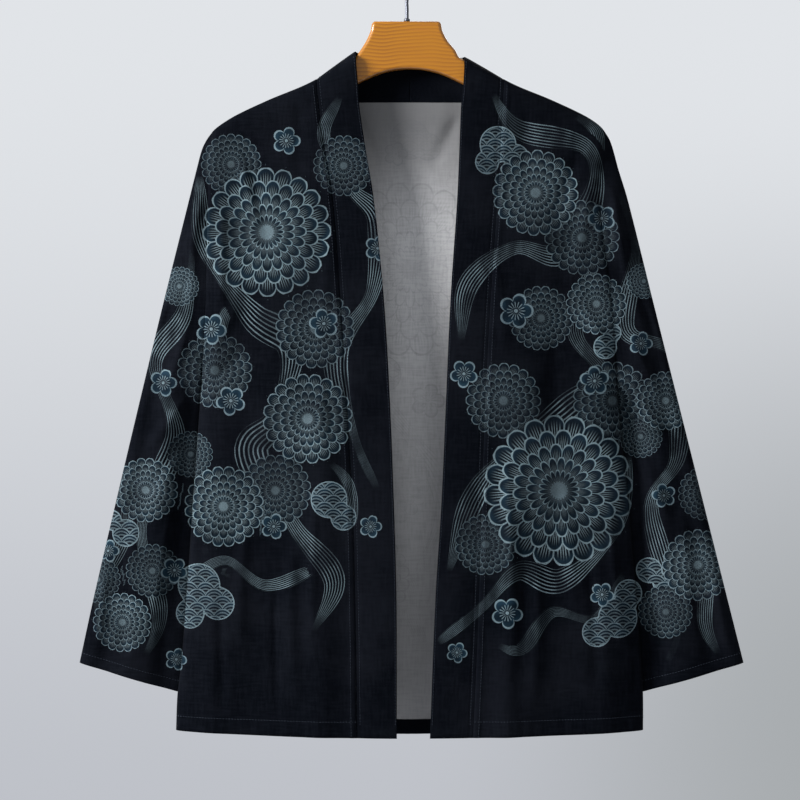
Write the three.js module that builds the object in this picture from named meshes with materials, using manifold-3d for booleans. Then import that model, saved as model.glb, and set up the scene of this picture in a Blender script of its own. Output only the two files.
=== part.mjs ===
// A cotton kimono jacket hung on a wooden hanger.
// Millimetres, +Z up, the front facing -Y, the origin inside the top of the hook.
// Left and right are as seen from the front, and side is -1 on the left and +1 on the right.

import * as THREE from "three";
import { mergeVertices } from "three/addons/utils/BufferGeometryUtils.js";
import Module from "manifold-3d";

// Cloth
const clothWall = 1.4;
const bandWall = 2.4; // the neckband is folded double
const hemWall = 2.6; // the cloth is turned up double
const hemDepth = 16;
const hemRamp = 1.12; // the wall thickens from this many hem depths up
const seamGap = 0.3;
const sleeveGap = 0.22; // a sleeve's share of the gap at its armhole

// Heights of the main points
const shoulderPoint = -198; // where the shoulder seam meets the sleeve
const neckPoint = -139.5; // where the shoulder seam meets the neckband
const underarm = -480;
const cuffInside = -829;
const cuffOutside = -793.5;
const hemAtSides = -868.6;
const hemSag = 7; // the hem hangs lower towards the front edges
const hemHalfWidth = 262;
const neckHalfWidth = 105; // where the shoulder seams meet the neckband
const backNeckFlat = 55; // the back neck is straight this far out
const backNeck = -163.5;
const bandTop = -118; // the neckband's free edge behind the neck

// The top of the shoulders, by distance out from the middle
const shoulderLine = [
  { out: 0, z: -66 },
  { out: 61.5, z: -108 },
  { out: 105, z: -139.5 },
  { out: 160, z: -163.5 },
  { out: 194, z: -179.5 },
  { out: 212, z: -190.5 },
  { out: 221, z: -198 },
  { out: 228, z: -207 },
  { out: 236, z: -228 },
];

// Distances out from the middle, by height: the body's edge, which is the armhole above the
// underarm and the side seam below it, the fold along each sleeve's top, the seam of the neckband
// and its free edge
const bodyEdge = [
  { z: -198, left: 221, right: 218 },
  { z: -225, left: 223.5, right: 212 },
  { z: -260, left: 225.5, right: 210 },
  { z: -310, left: 227, right: 214.5 },
  { z: -386, left: 228.5, right: 225 },
  { z: -470, left: 233, right: 231 },
  { z: -540, left: 238, right: 237 },
  { z: -610, left: 243, right: 244.5 },
  { z: -712, left: 250, right: 253 },
  { z: -790, left: 256, right: 259 },
  { z: -830, left: 260.5, right: 261 },
  { z: -869, left: 262, right: 261 },
];
const sleeveEdge = [
  { z: -198, left: 221, right: 218 },
  { z: -207, left: 227.5, right: 223.5 },
  { z: -218, left: 233, right: 227.5 },
  { z: -240, left: 239, right: 233.5 },
  { z: -274, left: 247.5, right: 244 },
  { z: -386, left: 275.5, right: 272 },
  { z: -498, left: 302.5, right: 300 },
  { z: -610, left: 329, right: 328 },
  { z: -722, left: 355, right: 356 },
  { z: -793.5, left: 370.5, right: 374 },
];
const bandSeam = [
  { z: -139.5, left: 105, right: 105 },
  { z: -200, left: 98.5, right: 102 },
  { z: -270, left: 87, right: 98 },
  { z: -386, left: 78, right: 90 },
  { z: -498, left: 71, right: 84 },
  { z: -610, left: 64.5, right: 80 },
  { z: -740, left: 61, right: 76 },
  { z: -876, left: 59, right: 70 },
];
const bandEdge = [
  { z: -108, left: 61.5, right: 61.5 },
  { z: -146, left: 58, right: 59.5 },
  { z: -170, left: 56.5, right: 57 },
  { z: -218, left: 49.5, right: 55 },
  { z: -274, left: 40.5, right: 52.5 },
  { z: -386, left: 29, right: 45 },
  { z: -498, left: 22.4, right: 40 },
  { z: -610, left: 18, right: 35 },
  { z: -722, left: 15, right: 28 },
  { z: -876, left: 14.6, right: 22 },
];
const bandTip = { left: -108, right: -114 }; // its highest point at each side of the neck
const tipFade = 16; // how fast the band's free edge falls to the height of its seam
const bandCrown = 1; // the band swells this much between its edges
const bandDrop = 0.6; // it ends this much below the fronts' hems
const neckStand = 6; // its free edge stands this much further back behind the neck

// How far the cloth stands forward and back of the hanger's plane, by height
const depths = [
  { z: -108, front: 15, back: 15 },
  { z: -163, front: 15, back: 16 },
  { z: -260, front: 18, back: 18 },
  { z: -480, front: 21, back: 21 },
  { z: -700, front: 25, back: 23 },
  { z: -876, front: 28, back: 25 },
];
const shoulderRoll = 26; // the cloth turns down over the arm within this height
const rollPower = 3; // how square that turn is
const sideSeam = -3; // the depth at which front and back meet below the underarm
const armholeHalf = 8; // half the armhole's width, front to back
const armholeClose = 70; // it closes over this height above the underarm
const frontTurn = { roll: 16, depth: 12, spread: 110 };
const backTurn = { roll: 13, depth: 12, lowDepth: 5, spread: 120 };

// Each sleeve is a flat tube. Below the underarm its inner fold lies just behind the side seam.
const sleeveHalf = 8.5; // half its depth
const sleeveRoll = { inner: 22, outer: 16 };
const sleeveMiddle = 2; // the depth of its middle away from the body
const sleeveSettle = 45; // it reaches that depth this far from its inner fold
const sleeveFill = 78; // it fills out over this height below the shoulder
const tuck = [
  { drop: 0, back: 0, inside: 0 },
  { drop: 30, back: 6, inside: -2 },
  { drop: 65, back: 10.5, inside: -1 },
  { drop: 120, back: 12.5, inside: 4 },
  { drop: 349, back: 13, inside: 9 },
];

// Long soft folds that hang down a wall: where each starts and ends, how wide it is, and how far it
// stands out, with troughs negative
const frontFolds = [
  { fromX: -96, toX: -100, top: -420, foot: -890, width: 17, rise: 4.5 },
  { fromX: -150, toX: -168, top: -560, foot: -890, width: 34, rise: -5.5 },
  { fromX: -205, toX: -226, top: -330, foot: -890, width: 20, rise: 4 },
  { fromX: -190, toX: -180, top: -215, foot: -430, width: 20, rise: -2.5 },
  { fromX: 120, toX: 108, top: -500, foot: -890, width: 15, rise: 4.5 },
  { fromX: 170, toX: 162, top: -400, foot: -890, width: 26, rise: -5 },
  { fromX: 205, toX: 222, top: -360, foot: -890, width: 20, rise: 4 },
  { fromX: 180, toX: 176, top: -215, foot: -400, width: 20, rise: -2.5 },
];
const backFolds = [
  { fromX: -176, toX: -196, top: -300, foot: -890, width: 26, rise: 6 },
  { fromX: -120, toX: -132, top: -420, foot: -890, width: 24, rise: -5 },
  { fromX: -70, toX: -62, top: -330, foot: -890, width: 22, rise: 5 },
  { fromX: 8, toX: -4, top: -500, foot: -890, width: 26, rise: -4.5 },
  { fromX: 64, toX: 74, top: -360, foot: -890, width: 24, rise: 5.5 },
  { fromX: 124, toX: 140, top: -450, foot: -890, width: 24, rise: -5 },
  { fromX: 184, toX: 204, top: -290, foot: -890, width: 26, rise: 5.5 },
];
const sleeveFolds = [
  { at: 0.42, toAt: 0.5, top: -230, foot: -840, width: 0.17, rise: 3.5 },
  { at: 0.2, toAt: 0.2, top: -440, foot: -840, width: 0.12, rise: -3.5 },
  { at: 0.8, toAt: 0.78, top: -340, foot: -840, width: 0.12, rise: -2.5 },
];
const foldFade = 110; // a fold dies away over this height at its top

// How finely the cloth is worked out: drops below the top edge as shares of a panel's height, places
// across a front from the band to the side, places across the back neck, and steps round a sleeve
const topDrops = [0, 0.0035, 0.009, 0.018, 0.039, 0.075, 0.13, 0.2, 0.27, 0.335, 0.385, 0.41];
const lowDrops = [0.47, 0.525, 0.585, 0.65, 0.715, 0.78, 0.845, 0.9, 0.945];
const frontPlaces = [0, 0.12, 0.245, 0.37, 0.495, 0.62, 0.74, 0.85, 0.925, 0.975, 1];
const neckPlaces = [0, 0.18, 0.36, 0.54, 0.7, 0.84, 0.94, 0.985];
const bandPlaces = [0, 0.35, 0.7, 1];
const sleeveSteps = 9;
const sleeveRows = [0.08, 0.18, 0.3, 0.42, 0.54, 0.66, 0.78, 0.88];

// Hanger
const board = { thick: 12, round: 4, top: -75, clearance: 1.4, underBand: 2.6 };
const armEnd = 205; // how far out the arms reach
const boardHead = [
  { z: -75, left: 39.5, right: 32 },
  { z: -77, left: 42.2, right: 34.4 },
  { z: -86, left: 44.2, right: 36.6 },
  { z: -97.5, left: 49.3, right: 42.6 },
  { z: -107, left: 55.3, right: 50.5 },
  { z: -115, left: 61, right: 54.5 },
];
const armOuts = [76, 90, 105, 132, 160, 183, 197];
const boardFoot = [
  { out: 0, z: -128.8 },
  { out: 30, z: -133 },
  { out: 58, z: -145 },
  { out: 80, z: -157.5 },
  { out: 105, z: -171 },
  { out: 160, z: -194 },
  { out: 197, z: -208 },
];
const armEndTurns = [-1, 0, 1]; // where its rounded end has corners, in radians
const wire = { radius: 2, sides: 10, steps: 46 };
const stem = { x: -3.4, foot: -93, top: -51, spans: 5, hole: 2.4, holeSides: 12 };
const stemBend = [
  { x: -0.8, z: -44.5 },
  { x: 4.8, z: -38 },
];
const crook = { radius: 19, x: 0, z: -17, from: -50, to: 205, step: 25.5 };
const ferrule = { inner: 2.3, outer: 3.4, height: 3, shoulder: 2.25, sides: 16 };

const colours = { cloth: 0x10141c, band: 0x0e1219, wood: 0xc68624, steel: 0x3a3c40 };

const lerp = THREE.MathUtils.lerp;
const clamp = THREE.MathUtils.clamp;
const ease = (q) => THREE.MathUtils.smoothstep(q, 0, 1);
const sideName = (side) => (side < 0 ? "left" : "right");

// A smooth line through two columns of a table, level beyond its ends
function lineThrough(table, from, to) {
  const rows = [...table].sort((a, b) => a[from] - b[from]);
  const slopes = rows.map((row, i) => {
    const before = rows[Math.max(i - 1, 0)];
    const after = rows[Math.min(i + 1, rows.length - 1)];
    return (after[to] - before[to]) / (after[from] - before[from]);
  });
  return (value) => {
    const at = clamp(value, rows[0][from], rows[rows.length - 1][from]);
    const i = clamp(rows.findIndex((row) => row[from] >= at) - 1, 0, rows.length - 2);
    const width = rows[i + 1][from] - rows[i][from];
    const q = (at - rows[i][from]) / width;
    const start = (1 + 2 * q) * (1 - q) ** 2 * rows[i][to] + q * (1 - q) ** 2 * width * slopes[i];
    const end = q ** 2 * (3 - 2 * q) * rows[i + 1][to] + q ** 2 * (q - 1) * width * slopes[i + 1];
    return start + end;
  };
}

const bySide = (table) => ({ left: lineThrough(table, "z", "left"), right: lineThrough(table, "z", "right") });
const shoulderAt = lineThrough(shoulderLine, "out", "z");
const bodyEdgeAt = bySide(bodyEdge);
const sleeveEdgeAt = bySide(sleeveEdge);
const bandSeamAt = bySide(bandSeam);
const bandEdgeAt = bySide(bandEdge);
const frontDepthAt = lineThrough(depths, "z", "front");
const backDepthAt = lineThrough(depths, "z", "back");
const tuckBackAt = lineThrough(tuck, "drop", "back");
const tuckInsideAt = lineThrough(tuck, "drop", "inside");
const boardFootAt = lineThrough(boardFoot, "out", "z");

// A quarter turn: 0 at the fold, 1 once the wall runs flat
function roll(distance, size, power = 2) {
  const q = clamp(distance / size, 0, 1);
  return (1 - (1 - q) ** power) ** (1 / power);
}

function foldsAt(folds, x, z) {
  return folds.reduce((sum, fold) => {
    const q = clamp((fold.top - z) / (fold.top - fold.foot), 0, 1);
    const across = (x - lerp(fold.fromX, fold.toX, q)) / fold.width;
    const head = ease((fold.top - z) / foldFade);
    const foot = ease((z - fold.foot) / foldFade + (fold.foot < hemAtSides ? 1 : 0));
    return sum + fold.rise * Math.exp(-across * across) * head * foot;
  }, 0);
}

const hemAt = (out) => hemAtSides - hemSag * (1 - Math.min(out / hemHalfWidth, 1) ** 2);

function backNeckAt(out) {
  const q = Math.max(out - backNeckFlat, 0) / (neckHalfWidth - backNeckFlat);
  return lerp(backNeck, neckPoint, q * q);
}

// How closed the armhole is at a height: 1 from the underarm down
const closedAt = (z) => 1 - roll(z - underarm, armholeClose);

function frontDepth(side, x, z) {
  const out = Math.abs(x);
  const fromEdge = bodyEdgeAt[sideName(side)](z) - out;
  const turn = roll(fromEdge, frontTurn.roll);
  const spread = ease(fromEdge / frontTurn.spread);
  const flat = lerp(frontTurn.depth, frontDepthAt(z), spread) + foldsAt(frontFolds, x, z);
  const edge = lerp(armholeHalf, -sideSeam, closedAt(z));
  return -lerp(edge, flat, turn) * roll(shoulderAt(out) - z, shoulderRoll, rollPower);
}

function backDepth(x, z) {
  const out = Math.abs(x);
  const fromEdge = bodyEdgeAt[sideName(x)](z) - out;
  const closed = closedAt(z);
  const turn = roll(fromEdge, backTurn.roll);
  const spread = ease(fromEdge / backTurn.spread);
  const nearEdge = lerp(backTurn.depth, backTurn.lowDepth, closed);
  const flat = lerp(nearEdge, backDepthAt(z), spread) + foldsAt(backFolds, x, z);
  const edge = lerp(armholeHalf, sideSeam, closed);
  return lerp(edge, flat, turn) * roll(shoulderAt(out) - z, shoulderRoll, rollPower);
}

const underarmDrop = (shoulderPoint - underarm) / (shoulderPoint - hemAtSides);
const hemDrop = hemDepth / (shoulderPoint - hemAtSides);
const drops = [...topDrops, underarmDrop, ...lowDrops, 1 - hemDrop * hemRamp, 1 - hemDrop, 1];
const underarmRow = topDrops.length;
const hemRow = drops.length - 2;
const hemmed = (row, wall) => (row >= hemRow ? hemWall : wall);

// A panel is rows of points on its outer face, each with the wall's thickness there
function frontPanel(side) {
  const name = sideName(side);
  return drops.map((drop, row) =>
    frontPlaces.map((place) => {
      const topX = lerp(neckHalfWidth, bodyEdgeAt[name](shoulderPoint), place);
      const top = place === 1 ? shoulderPoint : shoulderAt(topX);
      const z = lerp(top, hemAt(lerp(bandSeamAt[name](hemAtSides), hemHalfWidth, place)), drop);
      const out = row === 0 ? topX : lerp(bandSeamAt[name](z), bodyEdgeAt[name](z), place);
      const y = row === 0 ? 0 : frontDepth(side, side * out, z);
      return { point: new THREE.Vector3(side * out, y, z), wall: hemmed(row, clothWall) };
    }),
  );
}

// Places across the back, from the left side seam to the right one: the same as the fronts' at the
// shoulders, then round the back neck
const halfPlaces = (side) => [
  ...neckPlaces.map((share) => ({ side, out: share * neckHalfWidth, shoulder: false })),
  ...frontPlaces.map((place) => ({
    side,
    out: lerp(neckHalfWidth, bodyEdgeAt[sideName(side)](shoulderPoint), place),
    last: place === 1,
    shoulder: true,
  })),
];
const backPlaces = [...halfPlaces(-1).reverse(), ...halfPlaces(1).slice(1)];
const backNeckStart = frontPlaces.length - 1;

function backPanel() {
  return drops.map((drop, row) =>
    backPlaces.map(({ side, out: topOut, shoulder, last }) => {
      const name = sideName(side);
      const share = topOut / bodyEdgeAt[name](shoulderPoint);
      const shoulderTop = last ? shoulderPoint : shoulderAt(topOut);
      const z = lerp(shoulder ? shoulderTop : backNeckAt(topOut), hemAt(share * hemHalfWidth), drop);
      const out = row === 0 ? topOut : share * bodyEdgeAt[name](z);
      const onSeam = row === 0 && shoulder;
      const y = onSeam ? 0 : backDepth(side * Math.max(out, 1e-3), z);
      return { point: new THREE.Vector3(side * out, y, z), wall: hemmed(row, clothWall) };
    }),
  );
}

// The band starts on the front's inner edge at the hem and ends at the centre back
function neckband(side, front, back) {
  const name = sideName(side);
  const tip = bandTip[name];
  const upFront = front.map((row) => {
    const seam = row[0].point;
    const rise = (tip - neckPoint) * Math.exp((seam.z - neckPoint) / tipFade);
    const z = seam.z + rise - (seam.z < hemAtSides ? bandDrop : 0);
    const y = -frontDepthAt(z) * roll(tip - z, shoulderRoll, rollPower);
    return { seam, edge: new THREE.Vector3(side * bandEdgeAt[name](z), y, z) };
  });
  const neckColumns = neckPlaces.map((_, i) => backNeckStart + neckPlaces.length + side * i);
  const roundNeck = neckColumns.map((column) => {
    const seam = back[0][column].point;
    const share = Math.abs(seam.x) / neckHalfWidth;
    const x = side * share * bandEdgeAt[name](tip);
    const y = (backDepthAt(bandTop) + neckStand) * Math.sqrt(1 - share * share);
    return { seam, edge: new THREE.Vector3(x, y, lerp(bandTop, tip, share * share)) };
  });
  return [...upFront.reverse(), ...roundNeck.reverse()].map(({ seam, edge }) =>
    bandPlaces.map((place) => {
      const point = seam.clone().lerp(edge, place);
      point.y += Math.sign(point.y) * bandCrown * Math.sin(place * Math.PI);
      return { point, wall: bandWall };
    }),
  );
}

// A sleeve's rows run from the front armhole out round the top fold and back to the back armhole.
// Below the underarm both ends of a row are its inner fold.
function sleeve(side, front, back) {
  const name = sideName(side);
  const backColumn = side < 0 ? 0 : backPlaces.length - 1;
  const aboveUnderarm = drops.slice(0, underarmRow + 1).map((_, row) => ({
    start: front[row][frontPlaces.length - 1].point,
    end: back[row][backColumn].point,
    wall: clothWall,
  }));
  const cuffLength = underarm - cuffInside;
  const cuffHem = hemDepth / cuffLength;
  const shares = [...sleeveRows, 1 - cuffHem * hemRamp, 1 - cuffHem, 1];
  const belowUnderarm = shares.map((share, i) => {
    const drop = share * cuffLength;
    const z = underarm - drop;
    const inner = new THREE.Vector3(
      side * (bodyEdgeAt[name](z) - tuckInsideAt(drop)),
      sideSeam + tuckBackAt(drop),
      z,
    );
    return { start: inner, end: inner, wall: i >= shares.length - 2 ? hemWall : clothWall };
  });
  return [...aboveUnderarm, ...belowUnderarm].map(({ start, end, wall }, row) => {
    const drop = (shoulderPoint - start.z) / (shoulderPoint - cuffInside);
    const edgeZ = lerp(shoulderPoint, cuffOutside, drop);
    const edgeX = side * sleeveEdgeAt[name](edgeZ);
    const width = Math.max(Math.abs(edgeX - start.x), 1e-3);
    const inner = Math.min(sleeveRoll.inner, width);
    const outer = Math.min(sleeveRoll.outer, width);
    const middle = (start.y + end.y) / 2;
    const openHalf = (end.y - start.y) / 2;
    const lower = ease((shoulderPoint - start.z) / sleeveFill);
    return Array.from({ length: 2 * sleeveSteps + 1 }, (_, step) => {
      const isBack = step > sleeveSteps;
      const turn = Math.PI * (1 - Math.abs(step / sleeveSteps - 1));
      const q = row === 0 ? 0 : (1 - Math.cos(turn)) / 2;
      if (q === 0) return { point: (isBack ? end : start).clone(), wall };
      const half = lerp(openHalf, sleeveHalf * lower, roll(q * width, inner)) * roll((1 - q) * width, outer);
      const centre = lerp(middle, sleeveMiddle * lower, ease((q * width) / sleeveSettle));
      const z = lerp(start.z, edgeZ, q);
      const fold = sleeveFolds.reduce((sum, f) => {
        const down = clamp((f.top - z) / (f.top - f.foot), 0, 1);
        const across = (q - lerp(f.at, f.toAt, down)) / f.width;
        return sum + f.rise * Math.exp(-across * across) * ease((f.top - z) / foldFade);
      }, 0);
      const stand = half + fold * roll((1 - q) * width, outer) * roll(q * width, inner);
      const y = centre + (isBack ? stand : -stand);
      return { point: new THREE.Vector3(lerp(start.x, edgeX, q), y, z), wall };
    });
  });
}

const keyOf = (p) => [p.x, p.y, p.z].map((v) => Math.round(v * 1e4)).join(" ");

// The outward direction at every point, shared by the panels that meet there. Under each arm, where
// body and sleeve part like two legs, it is straight down.
function outwardAt(panels, crotches) {
  const sums = new Map();
  const add = (p, normal) => {
    const key = keyOf(p);
    if (!sums.has(key)) sums.set(key, new THREE.Vector3());
    sums.get(key).add(normal);
  };
  for (const { grid, flip } of panels) {
    for (let i = 0; i + 1 < grid.length; i++) {
      for (let j = 0; j + 1 < grid[i].length; j++) {
        const corners = [grid[i][j], grid[i][j + 1], grid[i + 1][j + 1], grid[i + 1][j]];
        const [a, b, c, d] = corners.map((corner) => corner.point);
        const across = new THREE.Vector3().subVectors(c, a);
        const normal = across.cross(new THREE.Vector3().subVectors(d, b)).multiplyScalar(flip ? -1 : 1);
        [a, b, c, d].forEach((p) => add(p, normal));
      }
    }
  }
  for (const crotch of crotches) sums.get(keyOf(crotch)).set(0, 0, -1);
  return (p) => sums.get(keyOf(p)).clone().normalize();
}

// Half a seam's gap: the way that each edge point of a panel draws back from the seam
function drawBack(grid, edges, outward) {
  const last = { row: grid.length - 1, column: grid[0].length - 1 };
  const lines = {
    top: grid[0].map((_, j) => [grid[0][j], grid[1][j]]),
    bottom: grid[0].map((_, j) => [grid[last.row][j], grid[last.row - 1][j]]),
    first: grid.map((row) => [row[0], row[1]]),
    last: grid.map((row) => [row[last.column], row[last.column - 1]]),
  };
  const shifts = new Map();
  for (const { edge, upTo = Infinity, gap = seamGap / 2 } of edges) {
    const ways = new Map();
    for (const [from, to] of lines[edge].slice(0, upTo + 1)) {
      const way = new THREE.Vector3().subVectors(to.point, from.point);
      const out = outward(from.point);
      way.addScaledVector(out, -way.dot(out));
      if (out.z === -1) way.set(Math.sign(way.x), Math.sign(way.y), 0); // under the arm
      if (way.length() < 1e-6) continue;
      const key = keyOf(from.point);
      if (!ways.has(key)) ways.set(key, new THREE.Vector3());
      ways.get(key).add(way.normalize());
    }
    for (const [key, way] of ways) {
      if (!shifts.has(key)) shifts.set(key, new THREE.Vector3());
      shifts.get(key).addScaledVector(way.normalize(), gap);
    }
  }
  return (p) => shifts.get(keyOf(p)) ?? new THREE.Vector3();
}

// A panel's wall as one closed body. A joined panel is a tube from that row down.
function wallOf(grid, { flip, edges, joinedFrom = Infinity }, outward) {
  const shift = drawBack(grid, edges, outward);
  const faces = grid.map((row) =>
    row.map(({ point, wall }) => {
      const outer = point.clone().add(shift(point));
      return { outer, inner: outer.clone().addScaledVector(outward(point), -wall) };
    }),
  );
  const positions = [];
  const triangle = (a, b, c) => {
    const keys = new Set([a, b, c].map(keyOf));
    if (keys.size === 3) positions.push(...(flip ? [a, c, b] : [a, b, c]).flatMap((p) => p.toArray()));
  };
  const quad = (a, b, c, d) => {
    triangle(a, b, c);
    triangle(a, c, d);
  };
  const rows = grid.length - 1;
  const columns = grid[0].length - 1;
  for (let i = 0; i < rows; i++) {
    for (let j = 0; j < columns; j++) {
      const [a, b, c, d] = [faces[i][j], faces[i][j + 1], faces[i + 1][j + 1], faces[i + 1][j]];
      quad(a.outer, b.outer, c.outer, d.outer);
      quad(a.inner, d.inner, c.inner, b.inner);
    }
  }
  for (let j = 0; j < columns; j++) {
    const [a, b, c, d] = [faces[0][j], faces[0][j + 1], faces[rows][j], faces[rows][j + 1]];
    quad(b.outer, a.outer, a.inner, b.inner);
    quad(c.outer, d.outer, d.inner, c.inner);
  }
  for (let i = 0; i < Math.min(rows, joinedFrom); i++) {
    const [a, b, c, d] = [faces[i][0], faces[i + 1][0], faces[i][columns], faces[i + 1][columns]];
    quad(a.outer, b.outer, b.inner, a.inner);
    quad(c.outer, c.inner, d.inner, d.outer);
  }
  const geometry = new THREE.BufferGeometry();
  geometry.setAttribute("position", new THREE.Float32BufferAttribute(positions, 3));
  return geometry;
}

const armholeRow = (edge) => (edge === "top" ? Infinity : underarmRow);

function clothPieces() {
  const fronts = { left: frontPanel(-1), right: frontPanel(1) };
  const back = backPanel();
  const seams = (...names) => names.map((edge) => ({ edge }));
  const pieces = [{ name: "back", grid: back, flip: false, edges: seams("top", "first", "last") }];
  for (const side of [-1, 1]) {
    const name = sideName(side);
    const right = side > 0;
    pieces.push(
      { name: `front_${name}`, grid: fronts[name], flip: right, edges: seams("top", "first", "last") },
      {
        name: `sleeve_${name}`,
        grid: sleeve(side, fronts[name], back),
        flip: right,
        edges: ["top", "first", "last"].map((edge) => ({ edge, upTo: armholeRow(edge), gap: sleeveGap })),
        joinedFrom: underarmRow,
      },
      {
        name: `neckband_${name}`,
        grid: neckband(side, fronts[name], back),
        flip: right,
        edges: seams("first", "bottom"),
      },
    );
  }
  const underarms = [-1, 1].map((side) => fronts[sideName(side)][underarmRow].at(-1).point);
  const outward = outwardAt(pieces, underarms);
  return pieces.map((piece) => ({ name: piece.name, geometry: wallOf(piece.grid, piece, outward) }));
}

// The hanger's outline, from the left arm's end over the head to the right arm's end and back below
function boardOutline() {
  const seat = (side, out) => {
    const tipOut = bandEdge[0].left;
    const bandSlope = (bandTip[sideName(side)] - neckPoint) / (neckHalfWidth - tipOut);
    if (out <= neckHalfWidth) {
      const bandLine = neckPoint + (neckHalfWidth - out) * bandSlope;
      return bandLine - (bandWall + board.underBand) * Math.hypot(1, bandSlope);
    }
    const slope = (shoulderAt(out - 1) - shoulderAt(out + 1)) / 2;
    return shoulderAt(out) - (clothWall + board.clearance) * Math.hypot(1, slope);
  };
  const half = (side) => [
    ...boardHead.map((row) => [side * row[sideName(side)], row.z]),
    ...armOuts.map((out) => [side * out, seat(side, out)]),
  ];
  const end = (side) => {
    const out = armOuts[armOuts.length - 1];
    const [top, foot] = [seat(side, out), boardFootAt(out)];
    const [middle, half] = [(top + foot) / 2, (top - foot) / 2];
    return armEndTurns.map((turn) => [
      side * (out + (armEnd - out) * Math.cos(turn)),
      middle - half * Math.sin(turn),
    ]);
  };
  const below = (side) => boardFoot.slice(1).map(({ out, z }) => [side * out, z]);
  const points = [
    ...half(-1).reverse(),
    ...half(1),
    ...end(1),
    ...below(1).reverse(),
    [0, boardFoot[0].z],
    ...below(-1),
    ...end(-1).reverse(),
  ];
  return new THREE.Shape(points.map(([x, z]) => new THREE.Vector2(x, z)));
}

function boardSolid() {
  const geometry = new THREE.ExtrudeGeometry(boardOutline(), {
    depth: board.thick - 2 * board.round,
    bevelSize: board.round,
    bevelThickness: board.round,
    bevelOffset: -board.round,
    bevelSegments: 3,
  });
  geometry.rotateX(Math.PI / 2);
  geometry.translate(0, board.thick / 2 - board.round, 0);
  return geometry;
}

function stemHole() {
  const length = board.top - stem.foot + board.thick; // it runs out past the board's top
  const geometry = new THREE.CylinderGeometry(stem.hole, stem.hole, length, stem.holeSides);
  geometry.rotateX(Math.PI / 2);
  geometry.translate(stem.x, 0, stem.foot - seamGap + length / 2);
  return geometry;
}

function subtract(wasm, from, tool) {
  const solid = (geometry) => {
    const bare = geometry.clone();
    bare.deleteAttribute("normal");
    bare.deleteAttribute("uv");
    const merged = mergeVertices(bare, 1e-4);
    const vertProperties = new Float32Array(merged.attributes.position.array);
    const triVerts = new Uint32Array(merged.index.array);
    return new wasm.Manifold(new wasm.Mesh({ numProp: 3, vertProperties, triVerts }));
  };
  const { vertProperties, triVerts } = solid(from).subtract(solid(tool)).getMesh();
  const geometry = new THREE.BufferGeometry();
  geometry.setAttribute("position", new THREE.Float32BufferAttribute(vertProperties, 3));
  geometry.setIndex([...triVerts]);
  return geometry;
}

// Up the stem, aside, and round the crook
function hookSolid() {
  const points = [];
  for (let i = 0; i <= stem.spans; i++) points.push([stem.x, lerp(stem.foot, stem.top, i / stem.spans)]);
  for (const { x, z } of stemBend) points.push([x, z]);
  for (let angle = crook.from; angle <= crook.to; angle += crook.step) {
    const turn = THREE.MathUtils.degToRad(angle);
    points.push([crook.x + crook.radius * Math.cos(turn), crook.z + crook.radius * Math.sin(turn)]);
  }
  const path = new THREE.CatmullRomCurve3(points.map(([x, z]) => new THREE.Vector3(x, 0, z)));
  const section = new THREE.Shape();
  section.absarc(0, 0, wire.radius, 0, 2 * Math.PI);
  const options = { extrudePath: path, steps: wire.steps, curveSegments: wire.sides / 2, bevelEnabled: false };
  return new THREE.ExtrudeGeometry(section, options);
}

function ferruleSolid() {
  const { inner, outer, height, shoulder, sides } = ferrule;
  const profile = [
    [inner, 0],
    [outer, 0],
    [outer, shoulder],
    [inner, height],
    [inner, 0],
  ].map(([x, y]) => new THREE.Vector2(x, y));
  const geometry = new THREE.LatheGeometry(profile, sides);
  geometry.rotateX(Math.PI / 2);
  return geometry;
}

const cotton = (color) => new THREE.MeshStandardMaterial({ color, roughness: 0.9, metalness: 0 });
const named = (name, geometry, material) => {
  geometry.computeVertexNormals();
  const mesh = new THREE.Mesh(geometry, material);
  mesh.name = name;
  return mesh;
};

const wasm = await Module();
wasm.setup();

const kimono = new THREE.Group();
kimono.name = "kimono_on_hanger";
for (const { name, geometry } of clothPieces()) {
  kimono.add(named(name, geometry, cotton(name.startsWith("neckband") ? colours.band : colours.cloth)));
}

const wood = new THREE.MeshStandardMaterial({ color: colours.wood, roughness: 0.35, metalness: 0 });
kimono.add(named("hanger_wood", subtract(wasm, boardSolid(), stemHole()), wood));

const steel = () => new THREE.MeshStandardMaterial({ color: colours.steel, roughness: 0.3, metalness: 1 });
kimono.add(named("hook", hookSolid(), steel()));
const ring = named("ferrule", ferruleSolid(), steel());
ring.position.set(stem.x, 0, board.top + seamGap);
kimono.add(ring);

export default kimono;
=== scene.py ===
import math

import bmesh
import bpy
import numpy as np
from mathutils import Matrix, Vector


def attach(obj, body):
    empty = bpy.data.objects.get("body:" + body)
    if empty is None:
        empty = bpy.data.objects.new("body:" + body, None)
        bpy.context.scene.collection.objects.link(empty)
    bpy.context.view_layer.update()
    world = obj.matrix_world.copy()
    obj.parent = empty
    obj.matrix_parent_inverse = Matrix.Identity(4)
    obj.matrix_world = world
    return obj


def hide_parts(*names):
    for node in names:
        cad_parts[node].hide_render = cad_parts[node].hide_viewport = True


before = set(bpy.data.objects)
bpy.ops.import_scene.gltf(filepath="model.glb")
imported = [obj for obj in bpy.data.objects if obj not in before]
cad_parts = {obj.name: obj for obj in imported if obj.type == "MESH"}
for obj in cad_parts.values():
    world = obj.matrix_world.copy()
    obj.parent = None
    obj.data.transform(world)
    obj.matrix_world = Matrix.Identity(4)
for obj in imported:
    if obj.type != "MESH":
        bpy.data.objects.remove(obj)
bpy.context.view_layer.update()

print("the packed jacket and hanger are in")

# The garment is worked out in millimetres and placed in metres.
# Left and right are as seen from the front, and side is -1 on the left and +1 on the right.
mm = 0.001

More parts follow.
